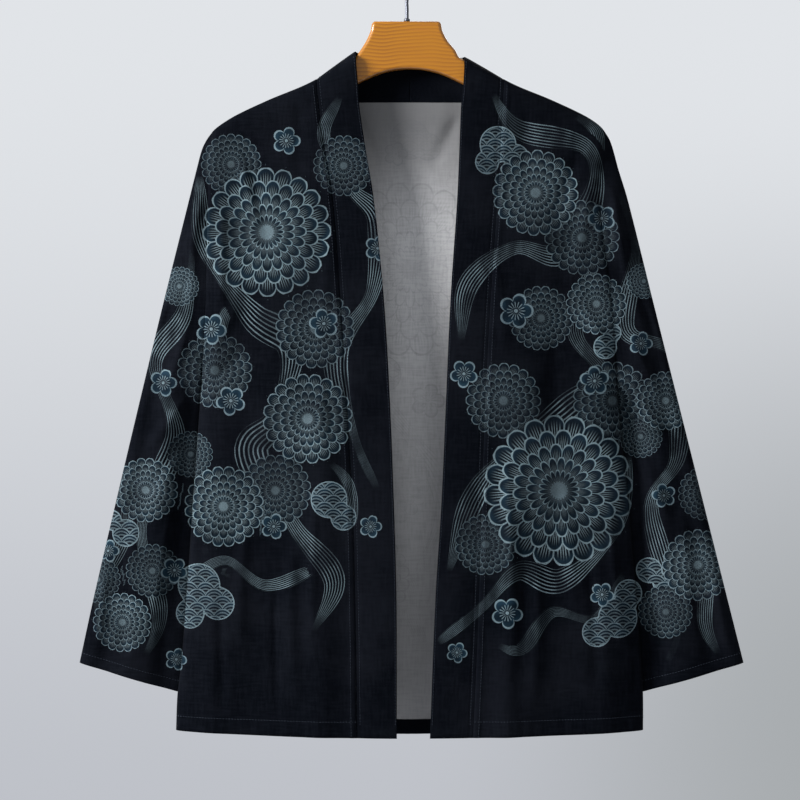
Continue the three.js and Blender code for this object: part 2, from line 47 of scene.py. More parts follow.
garment = {
    "shoulderPoint": -198, "neckPoint": -139.5, "underarm": -480, "cuffInside": -829, "cuffOutside": -793.5,
    "hemAtSides": -868.6, "hemSag": 7, "hemHalfWidth": 262, "hemDepth": 15.5, "cuffDepth": 11.5,
    "neckHalfWidth": 105, "backNeckFlat": 55, "backNeck": -163.5, "bandTop": -118,
    "bandTip": {-1: -108, 1: -114}, "tipFade": 16, "bandCrown": 1, "bandDrop": 0.6, "neckStand": 6,
    "wall": 1.3, "bandWall": 2.4, "settle": 12, "endFade": 24,
}
shoulderLine = {"out": [0, 61.5, 105, 160, 194, 212, 221, 228, 236],
                "z": [-66, -108, -139.5, -163.5, -179.5, -190.5, -198, -207, -228]}
bodyEdge = {"z": [-198, -225, -260, -310, -386, -470, -540, -610, -712, -790, -830, -869],
            "left": [221, 223.5, 225.5, 227, 228.5, 233, 238, 243, 250, 256, 260.5, 262],
            "right": [218, 212, 210, 214.5, 225, 231, 237, 244.5, 253, 259, 261, 261]}
sleeveEdge = {"z": [-198, -207, -218, -240, -274, -386, -498, -610, -722, -793.5],
              "left": [221, 227.5, 233, 239, 247.5, 275.5, 302.5, 329, 355, 370.5],
              "right": [218, 223.5, 227.5, 233.5, 244, 272, 300, 328, 356, 374]}
bandSeam = {"z": [-139.5, -200, -270, -386, -498, -610, -740, -876],
            "left": [105, 98.5, 87, 78, 71, 64.5, 61, 59],
            "right": [105, 102, 98, 90, 84, 80, 76, 70]}
bandEdge = {"z": [-108, -146, -170, -218, -274, -386, -498, -610, -722, -876],
            "left": [61.5, 58, 56.5, 49.5, 40.5, 29, 22.4, 18, 15, 14.6],
            "right": [61.5, 59.5, 57, 55, 52.5, 45, 40, 35, 28, 22]}
depths = {"z": [-108, -163, -260, -480, -700, -876],
          "front": [15, 15, 18, 21, 25, 28], "back": [15, 16, 18, 21, 23, 25]}
turns = {"shoulderRoll": 26, "sideSeam": -3, "armholeHalf": 8, "armholeClose": 70,
         "frontRoll": 16, "frontDepth": 12, "frontSpread": 110,
         "backRoll": 13, "backDepth": 12, "backLowDepth": 5, "backSpread": 120, "foldFade": 110}
sleeveForm = {"half": 8.5, "innerRoll": 22, "outerRoll": 16, "middle": 2, "settle": 45, "fill": 78,
              "smallFade": 60, "backApart": 400}
tuck = {"drop": [0, 12, 30, 65, 120, 349], "back": [0, 4, 8.5, 12, 13, 13], "inside": [0, 1, 2.2, 3, 5, 9]}

# Long folds: x at the top and at the foot, their heights, width, and how far they stand out
frontFolds = [
    (-96, -100, -420, -890, 17, 4.5), (-150, -168, -560, -890, 34, -5.5), (-205, -226, -330, -890, 20, 4),
    (-190, -180, -215, -430, 20, -2.5), (120, 108, -500, -890, 15, 4.5), (170, 162, -400, -890, 26, -5),
    (205, 222, -360, -890, 20, 4), (180, 176, -215, -400, 20, -2.5),
]
backFolds = [
    (-176, -196, -300, -890, 26, 6), (-120, -132, -420, -890, 24, -5), (-70, -62, -330, -890, 22, 5),
    (8, -4, -500, -890, 26, -4.5), (64, 74, -360, -890, 24, 5.5), (124, 140, -450, -890, 24, -5),
    (184, 204, -290, -890, 26, 5.5),
]
sleeveFolds = [  # places across the sleeve in shares of its width
    (0.42, 0.5, -230, -840, 0.17, 3.5), (0.2, 0.2, -440, -840, 0.12, -3.5),
    (0.8, 0.78, -340, -840, 0.12, -2.5),
]

# Small creases: from x, z to x, z, width, and a share of how far they stand out
creased = {"rise": 2.1, "waver": 3.5, "fadeIn": 0.3, "fadeOut": 0.35, "startWidth": 0.75, "endWidth": 1.25}
frontCreases = [
    (-196, -214, -168, -330, 7, 1.3), (-184, -228, -150, -372, 8, -1.2), (-214, -262, -206, -430, 6, 1.2),
    (-118, -158, -126, -262, 9, -1.0), (-222, -452, -186, -388, 7, 1.2), (-226, -486, -176, -436, 8, -1.3),
    (-112, -590, -104, -800, 6, 1.3), (-132, -640, -128, -862, 8, 1.5), (-146, -690, -150, -868, 5, -1.1),
    (-182, -620, -190, -800, 8, 1.4), (-208, -700, -214, -868, 6, -1.2), (-236, -560, -242, -760, 6, 1.1),
    (-92, -300, -98, -420, 7, 0.9), (-88, -470, -86, -560, 6, -0.8), (-160, -500, -172, -610, 9, 0.9),
    (190, -214, 160, -318, 8, -1.3), (204, -246, 188, -366, 7, 1.3), (128, -166, 132, -270, 9, -0.9),
    (222, -448, 186, -384, 7, 1.3), (228, -486, 178, -426, 8, -1.3), (112, -560, 108, -744, 6, 1.4),
    (124, -620, 120, -860, 7, -1.2), (140, -660, 138, -868, 7, 1.4), (176, -560, 182, -760, 9, 1.3),
    (200, -640, 206, -862, 7, -1.3), (226, -590, 234, -800, 6, 1.3), (96, -330, 102, -470, 7, 0.8),
    (246, -690, 250, -868, 5, -1.0), (156, -420, 160, -540, 9, -0.8),
]
backCreases = [
    (-206, -214, -150, -300, 9, 1.5), (-200, -250, -120, -330, 9, -1.4), (204, -216, 148, -306, 9, 1.5),
    (198, -256, 124, -336, 9, -1.3), (-60, -172, -30, -240, 9, 1.0), (58, -172, 26, -246, 9, 1.0),
    (-222, -470, -150, -400, 9, 1.6), (-226, -500, -140, -450, 8, -1.4), (222, -468, 150, -404, 9, 1.6),
    (226, -500, 146, -446, 8, -1.4), (-160, -560, -168, -780, 8, 1.5), (-98, -600, -94, -866, 8, -1.4),
    (-34, -560, -30, -760, 8, 1.3), (36, -640, 32, -868, 8, -1.3), (96, -560, 104, -800, 8, 1.4),
    (160, -620, 170, -866, 8, -1.4), (-216, -640, -224, -850, 7, 1.4), (218, -600, 228, -840, 7, 1.3),
    (0, -300, 10, -440, 10, 0.9), (-130, -700, -136, -868, 6, 1.1),
]
sleeveCreases = {
    -1: [
        (-232, -260, -252, -352, 6, 1.2), (-238, -330, -268, -470, 7, -1.3),
        (-246, -420, -282, -500, 6, 1.3), (-244, -486, -300, -560, 7, 1.5),
        (-250, -520, -310, -640, 7, -1.4), (-262, -610, -288, -760, 7, 1.3),
        (-300, -600, -322, -760, 8, 1.4), (-312, -690, -330, -806, 6, -1.2),
        (-340, -680, -356, -796, 6, 1.1), (-276, -700, -284, -822, 6, -1.2),
        (-262, -386, -286, -450, 5, -0.9),
    ],
    1: [
        (226, -256, 246, -350, 6, 1.2), (232, -326, 262, -462, 7, -1.3), (244, -424, 280, -506, 6, 1.3),
        (246, -490, 300, -570, 7, 1.5), (252, -530, 312, -650, 7, -1.4), (264, -616, 286, -770, 7, 1.3),
        (304, -610, 324, -750, 8, 1.4), (316, -680, 336, -806, 6, -1.2), (344, -690, 358, -796, 6, 1.1),
        (272, -712, 280, -824, 6, -1.2), (258, -380, 282, -444, 5, -0.9),
    ],
}


def sideColumn(side):
    return "left" if side < 0 else "right"


def through(table, fromColumn, toColumn):  # a smooth line through two columns, level beyond its ends
    at, to = np.array(table[fromColumn], float), np.array(table[toColumn], float)
    order = np.argsort(at)
    at, to = at[order], to[order]
    count = np.arange(len(at))
    before, after = np.maximum(count - 1, 0), np.minimum(count + 1, len(at) - 1)
    slope = (to[after] - to[before]) / (at[after] - at[before])

    def line(value):
        value = np.clip(value, at[0], at[-1])
        i = np.clip(np.searchsorted(at, value) - 1, 0, len(at) - 2)
        width = at[i + 1] - at[i]
        q = (value - at[i]) / width
        start = (1 + 2 * q) * (1 - q) ** 2 * to[i] + q * (1 - q) ** 2 * width * slope[i]
        return start + q ** 2 * (3 - 2 * q) * to[i + 1] + q ** 2 * (q - 1) * width * slope[i + 1]
    return line


shoulderZ, neckHalf = garment["shoulderPoint"], garment["neckHalfWidth"]
shoulderAt = through(shoulderLine, "out", "z")
bodyEdgeAt, sleeveEdgeAt, bandSeamAt, bandEdgeAt = [
    {side: through(table, "z", sideColumn(side)) for side in (-1, 1)}
    for table in (bodyEdge, sleeveEdge, bandSeam, bandEdge)]
frontDepthAt, backDepthAt = through(depths, "z", "front"), through(depths, "z", "back")
tuckBackAt, tuckInsideAt = through(tuck, "drop", "back"), through(tuck, "drop", "inside")


def grids(*values):
    return np.broadcast_arrays(*[np.asarray(value, float) for value in values])


def mixed(a, b, share):
    return a + (b - a) * share


def ease(q):
    q = np.clip(q, 0, 1)
    return q * q * (3 - 2 * q)


def roll(distance, size, power=2):  # 0 at a fold, 1 once the wall runs flat
    q = np.clip(distance / size, 0, 1)
    return (1 - (1 - q) ** power) ** (1 / power)


def bump(distance, half):  # 1 at a line, and soft on both sides of it
    return np.exp(-(distance / half) ** 2)


def foldsAt(folds, x, z, hem):  # they fade in at the top, and out at the foot if it is above the hem
    total = 0 * x
    for fromX, toX, top, foot, width, rise in folds:
        centre = mixed(fromX, toX, np.clip((top - z) / (top - foot), 0, 1))
        ends = ease((top - z) / turns["foldFade"]) * ease((z - foot) / turns["foldFade"] + (foot < hem))
        total = total + rise * bump(x - centre, width) * ends
    return total


def creasesAt(creases, x, z):  # soft troughs and ridges that die away at both ends
    total = 0 * x
    x = x + creased["waver"] * np.sin(z / 47 + x / 90)
    for x0, z0, x1, z1, width, rise in creases:
        dx, dz = x1 - x0, z1 - z0
        along = np.clip(((x - x0) * dx + (z - z0) * dz) / (dx * dx + dz * dz), 0, 1)
        away = np.hypot(x - x0 - along * dx, z - z0 - along * dz)
        ends = ease(along / creased["fadeIn"]) * ease((1 - along) / creased["fadeOut"])
        half = width * mixed(creased["startWidth"], creased["endWidth"], along)
        total = total + rise * bump(away, half) * ends
    return creased["rise"] * total


def smoothNoise(x, z, seed):  # soft random hills, between -1 and 1, that repeat after 61
    hills = np.random.default_rng(seed).uniform(-1, 1, (61, 61))
    column, row = np.floor(x).astype(int), np.floor(z).astype(int)
    low, high = [mixed(hills[at % 61, column % 61], hills[at % 61, (column + 1) % 61], ease(x - column))
                 for at in (row, row + 1)]
    return mixed(low, high, ease(z - row))


def unevenness(x, z, seed):  # the cloth is never quite smooth
    broad = smoothNoise(x / 52, z / 96, seed) * 0.75
    middling = smoothNoise(x / 17 + 9, z / 25, seed + 40) * 0.3
    return broad + middling + smoothNoise(x / 7, z / 8 + 5, seed + 80) * 0.1


def hemAt(out):
    middle = 1 - np.minimum(out / garment["hemHalfWidth"], 1) ** 2
    return garment["hemAtSides"] - garment["hemSag"] * middle


hemming = {"groove": 0.6, "cuffGroove": 0.5, "half": 1.7, "pucker": 0.35, "puckerUp": 9, "puckerHalf": 7}


def hemmed(x, z, hem, pitch, drift):  # a groove where the turned hem is sewn, with small puckers below it
    groove = hemming["groove"] * bump(z - hem - garment["hemDepth"], hemming["half"])
    below = bump(z - hem - hemming["puckerUp"], hemming["puckerHalf"])
    return hemming["pucker"] * np.sin(x / pitch + 2 * np.sin(x / drift)) * below - groove


def closedAt(z):
    return 1 - roll(z - garment["underarm"], turns["armholeClose"])


bandDitch = {"deep": 0.9, "half": 2.4, "ridge": 0.5, "ridgeAt": 5, "ridgeHalf": 2.2}


def frontPoint(side, place, drop):  # place runs from 0 at the band's seam to 1 at the side seam
    place, drop = grids(place, drop)
    edgeTop = bodyEdgeAt[side](shoulderZ)
    topX = mixed(neckHalf, edgeTop, place)
    top = shoulderAt(topX) + (shoulderZ - shoulderAt(edgeTop)) * place ** garment["endFade"]
    hem = hemAt(mixed(bandSeamAt[side](garment["hemAtSides"]), garment["hemHalfWidth"], place))
    z = mixed(top, hem, drop)
    settled = mixed(bandSeamAt[side](z), bodyEdgeAt[side](z), place)
    out = mixed(settled, topX, np.exp((z - top) / garment["settle"]))
    fromEdge = bodyEdgeAt[side](z) - settled
    turn = roll(fromEdge, turns["frontRoll"])
    spread = ease(fromEdge / turns["frontSpread"])
    x = side * out
    small = creasesAt(frontCreases, x, z) + unevenness(x, z, 3 + side) + hemmed(x, z, hem, 2.1, 17)
    fromSeam = settled - bandSeamAt[side](z)
    small = small - bandDitch["deep"] * bump(fromSeam, bandDitch["half"])
    small = small + bandDitch["ridge"] * bump(fromSeam - bandDitch["ridgeAt"], bandDitch["ridgeHalf"])
    small = small + foldsAt(frontFolds, x, z, garment["hemAtSides"])
    flat = mixed(turns["frontDepth"], frontDepthAt(z), spread) + small
    edge = mixed(turns["armholeHalf"], -turns["sideSeam"], closedAt(z))
    y = -mixed(edge, flat, turn) * roll(top - z, turns["shoulderRoll"], 3)
    return np.stack([x, y, z], -1)


def backNeckAt(out):
    q = np.maximum(out - garment["backNeckFlat"], 0) / (neckHalf - garment["backNeckFlat"])
    return mixed(garment["backNeck"], garment["neckPoint"], q * q)


def backPoint(share, drop):  # share runs from -1 at the left side seam to +1 at the right one
    share, drop = grids(share, drop)
    side = np.where(share < 0, -1, 1)

    def edgeAt(z):
        return np.where(side < 0, bodyEdgeAt[-1](z), bodyEdgeAt[1](z))

    edgeTop = edgeAt(shoulderZ)
    topOut = np.abs(share) * edgeTop
    onShoulder = topOut >= neckHalf
    last = ((topOut - neckHalf) / (edgeTop - neckHalf)).clip(0, 1) ** garment["endFade"]
    shoulderTop = shoulderAt(topOut) + (shoulderZ - shoulderAt(edgeTop)) * last
    top = np.where(onShoulder, shoulderTop, backNeckAt(topOut))
    hem = hemAt(np.abs(share) * garment["hemHalfWidth"])
    z = mixed(top, hem, drop)
    settled = np.abs(share) * edgeAt(z)
    out = mixed(settled, topOut, np.exp((z - top) / garment["settle"]))
    fromEdge = edgeAt(z) - settled
    turn = roll(fromEdge, turns["backRoll"])
    spread = ease(fromEdge / turns["backSpread"])
    closed = closedAt(z)
    x = side * out
    small = creasesAt(backCreases, x, z) + unevenness(x, z, 11) + hemmed(x, z, hem, 2.3, 15)
    nearEdge = mixed(turns["backDepth"], turns["backLowDepth"], closed)
    small = small + foldsAt(backFolds, x, z, garment["hemAtSides"])
    flat = mixed(nearEdge, backDepthAt(z), spread) + small
    edge = mixed(turns["armholeHalf"], turns["sideSeam"], closed)
    fall = np.where(onShoulder, top - z, shoulderAt(out) - z)
    y = mixed(edge, flat, turn) * roll(fall, turns["shoulderRoll"], 3)
    return np.stack([x, y, z], -1)


bodyDrop = shoulderZ - garment["hemAtSides"]
underarmDrop = (shoulderZ - garment["underarm"]) / bodyDrop


def sleeveSeams(side, down):  # where a sleeve's two layers start: at the armhole, and below it at one edge
    armhole = np.clip(down, 0, 1) * underarmDrop
    low = np.clip(down - 1, 0, 1) * (garment["underarm"] - garment["cuffInside"])
    lowZ = garment["underarm"] - low
    innerX = side * (bodyEdgeAt[side](lowZ) - tuckInsideAt(low))
    inner = np.stack([innerX, turns["sideSeam"] + tuckBackAt(low), lowZ], -1)
    isLow = (down > 1)[..., None]
    seams = (frontPoint(side, 1.0, armhole), backPoint(float(side), armhole))
    return [np.where(isLow, inner, seam) for seam in seams]


def sleevePoint(side, around, down):  # around runs over the top fold from front to back, down from 0 to 2
    around, down = grids(around, down)
    start, end = sleeveSeams(side, down[:, :1])
    drop = (shoulderZ - start[..., 2]) / (shoulderZ - garment["cuffInside"])
    edgeZ = mixed(shoulderZ, garment["cuffOutside"], drop)
    edgeX = side * sleeveEdgeAt[side](edgeZ)
    width = np.maximum(np.abs(edgeX - start[..., 0]), 1e-3)
    isBack = around > 0.5
    q = (1 - np.cos(math.pi * (1 - np.abs(2 * around - 1)))) / 2
    innerTurn = roll(q * width, np.minimum(sleeveForm["innerRoll"], width))
    outerTurn = roll((1 - q) * width, np.minimum(sleeveForm["outerRoll"], width))
    turn = innerTurn * outerTurn
    lower = ease((shoulderZ - start[..., 2]) / sleeveForm["fill"])
    openHalf, openMiddle = (end[..., 1] - start[..., 1]) / 2, (start[..., 1] + end[..., 1]) / 2
    half = mixed(openHalf, sleeveForm["half"] * lower, innerTurn) * outerTurn
    centre = mixed(openMiddle, sleeveForm["middle"] * lower, ease(q * width / sleeveForm["settle"]))
    x, z = mixed(start[..., 0], edgeX, q), mixed(start[..., 2], edgeZ, q)
    cuff = mixed(garment["cuffInside"], garment["cuffOutside"], q)
    uneven = unevenness(x + np.where(isBack, sleeveForm["backApart"], 0) * turn, z, 21 + side)
    small = creasesAt(sleeveCreases[side], x, z) + uneven
    small = small * ease((shoulderZ - z) / sleeveForm["smallFade"])
    small = small - hemming["cuffGroove"] * bump(z - cuff - garment["cuffDepth"], hemming["half"])
    small = small + foldsAt(sleeveFolds, q, z, garment["cuffOutside"])
    y = centre + np.where(isBack, 1, -1) * (half + small * turn)
    points = np.stack([x, y, z], -1)
    atStart, atEnd = (q <= 1e-9) & ~isBack, (q <= 1e-9) & isBack
    points = np.where(atStart[..., None], start, points)
    return np.where(atEnd[..., None], end, points), q * width


bandLook = {"ditch": 0.55, "ditchAt": 0.085, "ditchHalf": 0.02, "uneven": 0.8, "turnOver": 3}


def bandFace(side, place, travel):  # travel runs up the front from 0 to 1 and round the neck to 2
    place, travel = grids(place, travel)
    seam = frontPoint(side, 0.0, 1 - np.clip(travel, 0, 1))
    tip = garment["bandTip"][side]
    rise = (tip - garment["neckPoint"]) * np.exp((seam[..., 2] - garment["neckPoint"]) / garment["tipFade"])
    edgeZ = seam[..., 2] + rise - garment["bandDrop"] * (1 - ease(travel / 0.01))
    edgeY = -frontDepthAt(edgeZ) * roll(tip - edgeZ, turns["shoulderRoll"], 3)
    edge = np.stack([side * bandEdgeAt[side](edgeZ), edgeY, edgeZ], -1)
    share = 1 - np.clip(travel - 1, 0, 1)
    neckShare = share * neckHalf / bodyEdgeAt[side](shoulderZ)
    neckSeam = backPoint(side * (neckShare + 1e-9), 0.0)
    neckDepth = backDepthAt(garment["bandTop"]) + garment["neckStand"]
    neckY = neckDepth * np.sqrt(np.maximum(1 - share * share, 0))
    neckZ = mixed(garment["bandTop"], tip, share * share)
    neckEdge = np.stack([side * share * bandEdgeAt[side](tip), neckY, neckZ], -1)
    behind = (travel > 1)[..., None]
    seam, edge = np.where(behind, neckSeam, seam), np.where(behind, neckEdge, edge)
    points = seam + (edge - seam) * place[..., None]
    crown = np.sin(place * math.pi)
    ditch = bandLook["ditch"] * bump(place - bandLook["ditchAt"], bandLook["ditchHalf"])
    uneven = bandLook["uneven"] * unevenness(points[..., 0] * 1.5, points[..., 2], 31)
    lift = (garment["bandCrown"] + uneven) * crown - ditch
    points[..., 1] += np.tanh(points[..., 1] / bandLook["turnOver"]) * lift
    return points


def normalsOf(points):  # from the grid's own directions, right way out on the left-hand pieces
    across, along = np.gradient(points, axis=1), np.gradient(points, axis=0)
    normal = np.cross(across, along)
    return normal / np.maximum(np.linalg.norm(normal, axis=-1, keepdims=True), 1e-9)


# The print, in millimetres as the panels hang: large flower heads and small blossoms (x, z, radius, turn),
# streams of fine lines (corners, half their width), and circles of waves (x, z, radius)
frontPrint = {
    "heads": [
        (-160, -312, 72, 8), (-114, -520, 50, 20), (-208, -618, 45, 0), (166, -600, 84, 5),
        (140, -268, 48, 30), (208, -392, 34, 12), (-296, -600, 36, 0), (-322, -748, 33, 14),
        (286, -500, 33, 0), (322, -684, 40, 9), (262, -366, 20, 0), (-258, -372, 22, 0),
    ],
    "blossoms": [
        (-222, -420, 18, 10), (-96, -414, 17, 40), (-152, -640, 15, 0), (-200, -500, 17, 25),
        (118, -400, 20, 0), (214, -296, 16, 30), (108, -736, 18, 12), (206, -478, 17, 50),
        (-276, -480, 16, 0), (-264, -690, 15, 20), (-338, -668, 13, 0), (258, -436, 14, 0),
        (284, -606, 14, 40), (-36, -330, 15, 0), (60, -470, 16, 22), (-44, -640, 13, 0), (52, -780, 12, 8),
        (-138, -210, 16, 0), (-262, -790, 13, 0), (214, -716, 14, 12),
    ],
    "underHeads": [
        (-218, -466, 42, 4), (-106, -420, 44, 15), (-150, -600, 40, 0), (104, -500, 42, 10),
        (226, -500, 44, 0), (192, -318, 42, 25), (146, -408, 36, 0), (-246, -560, 26, 0),
        (-350, -700, 26, 0), (330, -604, 30, 0), (286, -736, 30, 0), (-74, -238, 34, 0),
        (-288, -690, 30, 0), (258, -540, 24, 0), (-200, -236, 34, 9), (84, -660, 34, 0),
    ],
    "streams": [
        ([(-236, -246), (-228, -330), (-176, -404), (-132, -440), (-150, -520), (-176, -560),
          (-128, -640), (-84, -700), (-112, -764)], 17),
        ([(-78, -160), (-96, -206), (-66, -262), (-34, -300), (-42, -380), (-82, -450), (-62, -540),
          (-36, -600)], 13),
        ([(-248, -700), (-206, -678), (-160, -706), (-100, -684)], 9),
        ([(-240, -300), (-252, -400), (-286, -456), (-262, -540), (-300, -640), (-280, -740),
          (-304, -800)], 12),
        ([(-330, -560), (-318, -640), (-350, -720), (-336, -780)], 8),
        ([(88, -150), (120, -196), (196, -216), (206, -268), (168, -336), (116, -330), (66, -370),
          (56, -440)], 15),
        ([(210, -330), (184, -420), (214, -470), (176, -510), (110, -560), (70, -610), (40, -700)], 15),
        ([(246, -560), (232, -640), (170, -700), (120, -690), (80, -730), (30, -770)], 12),
        ([(240, -690), (206, -742), (158, -736), (124, -776), (92, -770)], 8),
        ([(232, -260), (252, -330), (242, -420), (296, -450), (300, -560), (270, -620), (300, -740),
          (286, -800)], 12),
        ([(346, -640), (330, -740), (348, -790)], 8),
        ([(-100, -560), (-70, -590), (-62, -640)], 7),
        ([(180, -180), (206, -196), (214, -230)], 7),
        ([(-182, -390), (-206, -404), (-214, -450)], 6),
        ([(-190, -214), (-206, -250), (-214, -300)], 6),
        ([(240, -486), (216, -540), (236, -600)], 7),
        ([(-236, -640), (-222, -680), (-190, -700)], 6),
    ],
    "patches": [
        (-236, -706, 24), (-214, -726, 18), (-246, -738, 16), (232, -742, 22), (208, -758, 16),
        (244, -716, 16), (-90, -610, 20), (-74, -630, 14), (98, -214, 20), (118, -228, 14), (86, -234, 13),
        (-318, -648, 15), (-334, -634, 11), (268, -690, 14), (282, -704, 10), (218, -440, 13),
        (226, -424, 10),
    ],
}
backPrint = {
    "heads": [
        (0, -352, 98, 0), (-146, -520, 70, 12), (136, -566, 78, 5), (-52, -700, 52, 0), (168, -300, 46, 9),
        (-176, -300, 50, 0), (206, -712, 34, 0), (-212, -700, 36, 20),
    ],
    "blossoms": [
        (112, -410, 18, 0), (-100, -250, 17, 0), (20, -500, 20, 0), (-190, -420, 16, 0), (60, -680, 17, 0),
        (212, -450, 18, 0), (-130, -640, 16, 0), (96, -236, 15, 0), (-16, -222, 14, 0), (130, -700, 15, 0),
    ],
    "underHeads": [
        (-92, -430, 58, 0), (76, -452, 54, 9), (-218, -380, 36, 0), (204, -392, 40, 0), (-30, -590, 52, 0),
        (-150, -640, 44, 0), (60, -730, 40, 0), (210, -620, 38, 0), (80, -260, 40, 0), (-84, -256, 40, 0),
    ],
    "streams": [
        ([(-200, -220), (-230, -330), (-190, -430), (-220, -540), (-170, -620), (-200, -740)], 17),
        ([(200, -230), (226, -340), (180, -420), (216, -520), (190, -640), (140, -720), (170, -780)], 17),
        ([(-60, -190), (-120, -330), (-60, -470), (0, -540), (40, -620), (0, -720), (20, -790)], 16),
        ([(70, -190), (110, -300), (90, -400), (40, -470), (60, -540), (110, -660), (90, -760)], 15),
        ([(-100, -560), (-110, -640), (-60, -760), (-120, -800)], 12),
    ],
    "patches": [
        (-120, -750, 26), (-96, -766, 18), (150, -460, 22), (168, -446, 15), (-30, -470, 20),
        (-46, -486, 14), (0, -206, 22), (20, -214, 15),
    ],
}


# How far past a motif its fields reach: in the head's radius, and in millimetres beside a stream
margin = {"head": 1.17, "stream": 3.2, "between": 6, "ahead": 3, "search": 40, "edge": 1.06}


def headFields(x, z, large, small=()):  # each point's place within the flower head that it lies in
    nearest = np.full(x.shape, 9.0)
    field = np.zeros(x.shape + (3,))
    for kind, (headX, headZ, radius, turned) in [(0, head) for head in large] + [(1, head) for head in small]:
        angle = math.radians(turned)
        dx, dz = (x - headX) / radius, (z - headZ) / radius
        away = np.hypot(dx, dz)
        inHeadX = dx * math.cos(angle) - dz * math.sin(angle)
        inHeadZ = dx * math.sin(angle) + dz * math.cos(angle)
        here = np.stack([inHeadX, inHeadZ, 0 * x + kind], -1)
        closer = away < nearest
        field[closer], nearest[closer] = here[closer], away[closer]
    return field, (nearest < margin["head"]).astype(float)


def smoothPath(corners, steps=90):
    at = np.arange(len(corners), dtype=float)
    line = {"at": at, "x": [c[0] for c in corners], "z": [c[1] for c in corners]}
    t = np.linspace(0, at[-1], steps)
    return np.stack([through(line, "at", "x")(t), through(line, "at", "z")(t)], -1)


streamForm = {"tip": 0.12, "fullness": 0.55, "middle": 0.82, "swell": 0.3, "swellEvery": 26, "fadeTo": 0.9}


def streamFields(streams, x, z):  # along, across and strength; the first ones lie on top
    flatX, flatZ = x.ravel(), z.ravel()
    field, mask = np.zeros((flatX.size, 3)), np.zeros(flatX.size)
    taken = np.zeros(flatX.size, bool)
    for number, (corners, halfWidth) in enumerate(streams):
        path = smoothPath(corners)
        ways = np.gradient(path, axis=0)
        ways /= np.linalg.norm(ways, axis=1, keepdims=True)
        lengths = np.concatenate([[0], np.cumsum(np.linalg.norm(np.diff(path, axis=0), axis=1))])
        lowX, lowZ = path.min(0) - margin["search"]
        highX, highZ = path.max(0) + margin["search"]
        index = np.flatnonzero((flatX > lowX) & (flatX < highX) & (flatZ > lowZ) & (flatZ < highZ))
        if not len(index):
            continue
        gap = np.stack([flatX[index], flatZ[index]], -1)[:, None] - path[None]
        nearest = np.argmin((gap ** 2).sum(-1), axis=1)
        offset = gap[np.arange(len(index)), nearest]
        way = ways[nearest]
        along = lengths[nearest] + (offset * way).sum(-1)
        across = offset[:, 0] * way[:, 1] - offset[:, 1] * way[:, 0]
        q = np.clip(along / lengths[-1], 0, 1)
        tapered = streamForm["tip"] + (1 - streamForm["tip"]) * np.sin(math.pi * q) ** streamForm["fullness"]
        waving = np.sin(along / streamForm["swellEvery"] + number)
        half = halfWidth * tapered * (streamForm["middle"] + streamForm["swell"] * waving)
        strength = np.clip(half / margin["stream"] - streamForm["fadeTo"], 0, 1)
        past = np.abs(across) - half * margin["edge"]
        inside = (past < margin["stream"]) & (along > 0) & (along < lengths[-1]) & ~taken[index]
        field[index[inside]] = np.stack([along, across / half, strength], -1)[inside]
        mask[index[inside]] = 1
        close = (along > -margin["ahead"]) & (along < lengths[-1] + margin["ahead"])
        taken[index[close & (past < margin["between"])]] = True
    return field.reshape(x.shape + (3,)), mask.reshape(x.shape)


def patchField(patches, x, z):
    inside = [(radius - np.hypot(x - circleX, z - circleZ)) / 10 for circleX, circleZ, radius in patches]
    return np.clip(np.max(inside, axis=0), -1, 5)


def addPrint(mesh, layout, points, clothPlace, hemHeight):
    x, z = points[..., 0].ravel(), points[..., 2].ravel()
    fields = {"clothPlace": clothPlace.reshape(-1, 3) * mm,
              "printPlace": np.stack([x, z, 0 * x], -1) * mm}
    shares = {"hemHeight": hemHeight.ravel(), "patch": patchField(layout["patches"], x, z)}
    fields["head"], shares["headMask"] = headFields(x, z, layout["heads"], layout["blossoms"])
    fields["underHead"], shares["underHeadMask"] = headFields(x, z, layout["underHeads"])
    fields["stream"], shares["streamMask"] = streamFields(layout["streams"], x, z)
    for group, kind, part in ((fields, "FLOAT_VECTOR", "vector"), (shares, "FLOAT", "value")):
        for name, values in group.items():
            made = mesh.attributes.new(name, kind, "POINT")
            made.data.foreach_set(part, values.astype(np.float32).ravel())


def objectFrom(bm, name, *materials):
    mesh = bpy.data.meshes.new(name)
    bm.to_mesh(mesh)
    bm.free()
    for material in materials:
        mesh.materials.append(material)
    made = bpy.data.objects.new(name, mesh)
    bpy.context.collection.objects.link(made)
    return made


def numberedGrid(name, columns, rows, materials):  # a bmesh grid, with each vertex's column and row
    bm = bmesh.new()
    bmesh.ops.create_grid(bm, x_segments=columns, y_segments=rows, size=0.5)
    piece = objectFrom(bm, name, *materials)
    mesh = piece.data
    flat = np.empty(len(mesh.vertices) * 3, np.float32)
    mesh.vertices.foreach_get("co", flat)
    places = flat.reshape(-1, 3)[:, :2] + 0.5
    column, row = np.rint(places * (columns, rows)).astype(int).T
    return piece, column, row


sheetForm = {"weld": 2e-6, "wallSteps": 20}  # the weld in metres


